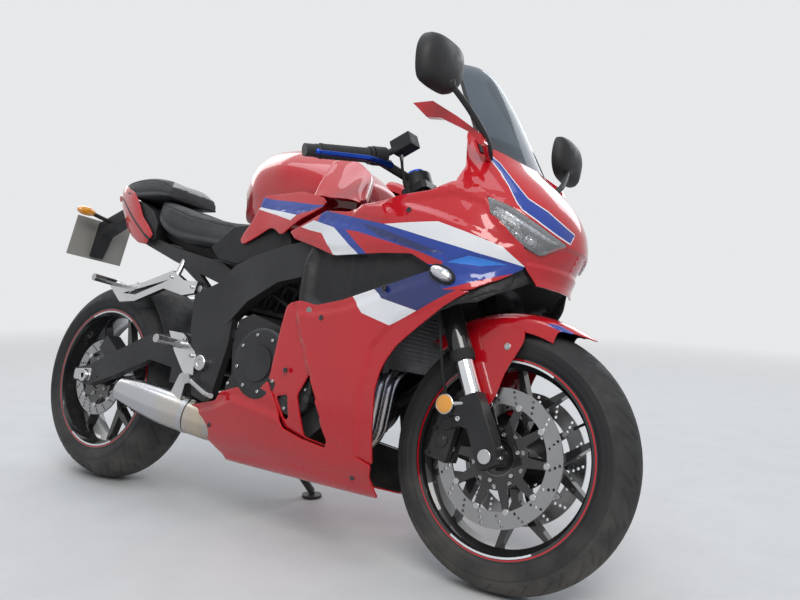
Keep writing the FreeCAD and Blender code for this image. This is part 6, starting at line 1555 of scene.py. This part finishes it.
def chain_parts():
    """Outer and inner plates take turns, each a figure with a waist; a pin or a roller at every
    pin place."""
    pins = chain_pins()
    parts = []
    for index, (start, end) in enumerate(zip(pins, np.roll(pins, -1, axis=0))):
        long = np.hypot(*(end - start))
        way = (end - start) / long
        side = np.array([-way[1], way[0]])
        upper = [(-6, -4), (-6, 4), (-1, 7), (long / 2, 4.6), (long + 1, 7), (long + 6, 4)]
        shape = upper + [(long + 6, -4), (long + 1, -7), (long / 2, -4.6), (-1, -7)]
        flat = np.array([start + way * a + side * b for a, b in shape])
        for y in ((94.2, 109.8) if index % 2 else (96.6, 107.4)):
            parts.append(closed_rings(np.array([np.insert(flat, 1, y + shift, axis=1)
                                                for shift in (-1.1, 1.1)])))
        radius, reach = CHAIN_PINS[index % 2]
        profile = [(0.3, -reach), (radius, -reach), (radius, reach), (0.3, reach)]
        parts.append(lathe(profile, 8, (start[0], CHAIN_Y, start[1])))
    return gathered(parts)


piece("chain_links", chain_parts(), "chassis", [CHAIN_STEEL], nodes=["drive_chain"])

# Bolts, plates and hoses on the chassis

# Circles of bolts: middle, radius, number, side.
BOLT_CIRCLES = (((785, -178, 430), 74, 8, -1), ((905, -166, 372), 47, 6, -1), ((700, -160, 352), 33, 5, -1),
                ((930, 176, 372), 64, 8, 1), ((780, 166, 420), 46, 6, 1))
PLATE_BOLTS = ((470, 466), (508, 424), (520, 368))
RAIL_BOLTS = ((428, 622), (66, 612), (330, 648))
PANEL_SCREWS = ((1226, 823), (897, 422), (1186, 640), (1120, 196), (604, 246), (1000, 560))
places = []
for middle, radius, count, side in BOLT_CIRCLES:
    places += [(spot, (0, side, 0), 4.5, 4.5) for spot in around(middle, radius, count, 12)]
for side in SIDES:
    places += [((x, side * 162.5, z), (0, side, 0), 6.0, 5.0) for x, z in PLATE_BOLTS]
    places += [((x, side * 136.5, z), (0, side, 0), 5.0, 5.0) for x, z in RAIL_BOLTS]
bolts("frame_bolts", "chassis", places)
places = []
for x, z in PANEL_SCREWS:
    spot = on_form(to_form(np.array([(float(x), float(z))])))[0]
    places += [(spot * [1, -side, 1], (0, side, 0), 6.5, 2.4) for side in SIDES]
bolts("panel_screws", "chassis", places, GLOSS_BLACK)

PIVOT_CAP = [(0.4, 4), (9, 4), (11, 6), (20, 6), (22, 4), (22, -8), (0.4, -8)]
parts = []
for side, inner, outer in ((-1, -140.5, -137.5), (1, 148.5, 145.5)):
    parts += [lathe(PIVOT_CAP, 40, (545, side * 158.5, 408), (0, side, 0)),
              extruded(softened([(-56, 300), (-56, 332), (30, 342), (30, 300)], 5), inner, outer,
                       [ring_of((0, 315), 21, 40)]),
              tube([(-70, side * 128, 316), (-40, side * 128, 316)], 5.0)]
rounded(piece("swingarm_fittings", gathered(parts), "chassis", [STEEL]), 0.6)

COOLANT_HOSES = ([(1128, -138, 644), (1108, -152, 604), (1062, -156, 556), (1010, -148, 520)],
                 [(1140, 138, 500), (1100, 156, 450), (1040, 160, 400), (990, 150, 372)])
hoses = gathered([tube(through(line, 40), 17, 24) for line in COOLANT_HOSES])
piece("coolant_hoses", hoses, "chassis", [RUBBER])

INLET_NECK = [(2, -4), (24, -4), (24, 24), (27, 26), (27, 40), (24, 42), (30, 92), (2, 92)]
# Fuel lines beside the inlet necks: points, radius.
FUEL_LINES = (([(560, -84, 640), (620, -92, 662), (700, -92, 668), (790, -84, 640)], 7),
              ([(548, -70, 600), (610, -98, 622), (700, -98, 628), (780, -88, 590)], 5),
              ([(560, 84, 640), (620, 92, 662), (700, 92, 668), (790, 84, 640)], 7))
parts = [lathe(INLET_NECK, 24, (640, y, 596), (0.36, 0, 0.93)) for y in (-75, -25, 25, 75)]
parts += [numbered(tube(through(line, 30), radius, 14), 1) for line, radius in FUEL_LINES]
piece("inlet_necks", gathered(parts), "chassis", [PLASTIC, RUBBER])

SEAT_PAN = [(156, 856), (200, 834), (300, 786), (400, 770), (506, 764), (506, 716), (400, 722), (300, 738),
            (200, 776), (156, 800)]
rounded(piece("seat_pan", extruded(softened(SEAT_PAN, 8), -64, 64), "chassis", [PLASTIC]), 2.0)


# Floor, lights, camera

def ground():
    """A broad pale floor that fades into the background with distance from the object."""
    size = 12.0
    corners = [(-size, -size, 0), (size, -size, 0), (size, size, 0), (-size, size, 0)]
    mesh = bpy.data.meshes.new("floor")
    mesh.from_pydata(corners, [], [(0, 1, 2, 3)])
    material = look("pale_floor", (0.60, 0.60, 0.595), (0.57, 0.57, 0.565), (0.6, 0.75), 0.02, dust=0.0)
    tree = material.node_tree
    out = tree.nodes["Material Output"]
    coordinates = add_node(tree, "ShaderNodeTexCoord")
    length = add_node(tree, "ShaderNodeVectorMath", operation="LENGTH")
    tree.links.new(coordinates.outputs["Object"], length.inputs[0])
    fade = ranged(tree, length.outputs["Value"], 0.0, 1.0, 1.6, 5.5)
    clear = add_node(tree, "ShaderNodeBsdfTransparent")
    joined_shaders(tree, fade, out.inputs["Surface"].links[0].from_socket, clear.outputs["BSDF"], out)
    mesh.materials.append(material)
    floor = bpy.data.objects.new("floor", mesh)
    bpy.context.scene.collection.objects.link(floor)
    return floor


def area_light(name, place, aim, width, height, power, colour):
    """A rectangular light that faces a point."""
    lamp = bpy.data.lights.new(name, "AREA")
    lamp.shape = "RECTANGLE"
    lamp.size, lamp.size_y = width, height
    lamp.energy = power
    lamp.color = colour
    thing = bpy.data.objects.new(name, lamp)
    way = Vector(aim) - Vector(place)
    thing.matrix_world = Matrix.Translation(place) @ way.to_track_quat("-Z", "Y").to_matrix().to_4x4()
    bpy.context.scene.collection.objects.link(thing)
    return thing


def pale_world():
    """Pale background for the camera and for mirrored and clear surfaces, soft grey light for the rest."""
    world = bpy.data.worlds.new("studio")
    bpy.context.scene.world = world
    world.use_nodes = True
    tree = world.node_tree
    soft = tree.nodes["Background"]
    soft.inputs["Color"].default_value = (0.62, 0.68, 0.78, 1)
    soft.inputs["Strength"].default_value = 0.45
    seen = add_node(tree, "ShaderNodeBackground", {"Color": (0.80, 0.81, 0.82, 1), "Strength": 1.0})
    path = add_node(tree, "ShaderNodeLightPath")
    direct = path.outputs["Is Camera Ray"]
    for label in ("Is Glossy Ray", "Is Transmission Ray"):
        direct = worked(tree, "MAXIMUM", direct, path.outputs[label])
    joined_shaders(tree, direct, soft.outputs["Background"], seen.outputs["Background"],
                   tree.nodes["World Output"])


pale_world()
lights = [
    area_light("key_light", (2.6, -2.6, 3.4), (0, -0.1, 0.6), 2.6, 1.6, 120, (1.0, 0.98, 0.95)),
    area_light("sky_light", (-0.4, -0.6, 4.2), (0, 0, 0.5), 4.0, 3.0, 75, (0.86, 0.92, 1.0)),
    area_light("rear_light", (-3.0, 1.0, 2.4), (-0.2, 0, 0.6), 2.0, 2.0, 30, (1.0, 0.98, 0.96)),
    area_light("far_side_light", (0.6, 3.6, 2.6), (0, 0, 0.6), 3.0, 1.6, 50, (0.92, 0.96, 1.0)),
]
ground()

CAMERA_AT = Vector((1.58425, -1.80527, 0.76340))
CAMERA_TURN, CAMERA_PITCH, CAMERA_ROLL = (math.radians(angle) for angle in (125.534, -3.567, 1.393))
FOCAL_LENGTH = 36.667
SENSOR_WIDTH = 36.0


def camera_frame():
    """Right, up and backward directions of the camera from its turn, pitch and roll."""
    ahead = Vector((math.cos(CAMERA_PITCH) * math.cos(CAMERA_TURN),
                    math.cos(CAMERA_PITCH) * math.sin(CAMERA_TURN),
                     math.sin(CAMERA_PITCH)))
    right = ahead.cross(Vector((0, 0, 1))).normalized()
    up = right.cross(ahead)
    right, up = (right * math.cos(CAMERA_ROLL) + up * math.sin(CAMERA_ROLL),
                 up * math.cos(CAMERA_ROLL) - right * math.sin(CAMERA_ROLL))
    return Matrix((right, up, -ahead)).transposed().to_4x4()


camera_data = bpy.data.cameras.new("photo_camera")
camera_data.lens = FOCAL_LENGTH
camera_data.sensor_width = SENSOR_WIDTH
camera_data.clip_start = 0.05
camera = bpy.data.objects.new("photo_camera", camera_data)
camera.matrix_world = Matrix.Translation(CAMERA_AT) @ camera_frame()
bpy.context.scene.collection.objects.link(camera)
bpy.context.scene.camera = camera
bpy.context.scene.view_settings.view_transform = "Standard"
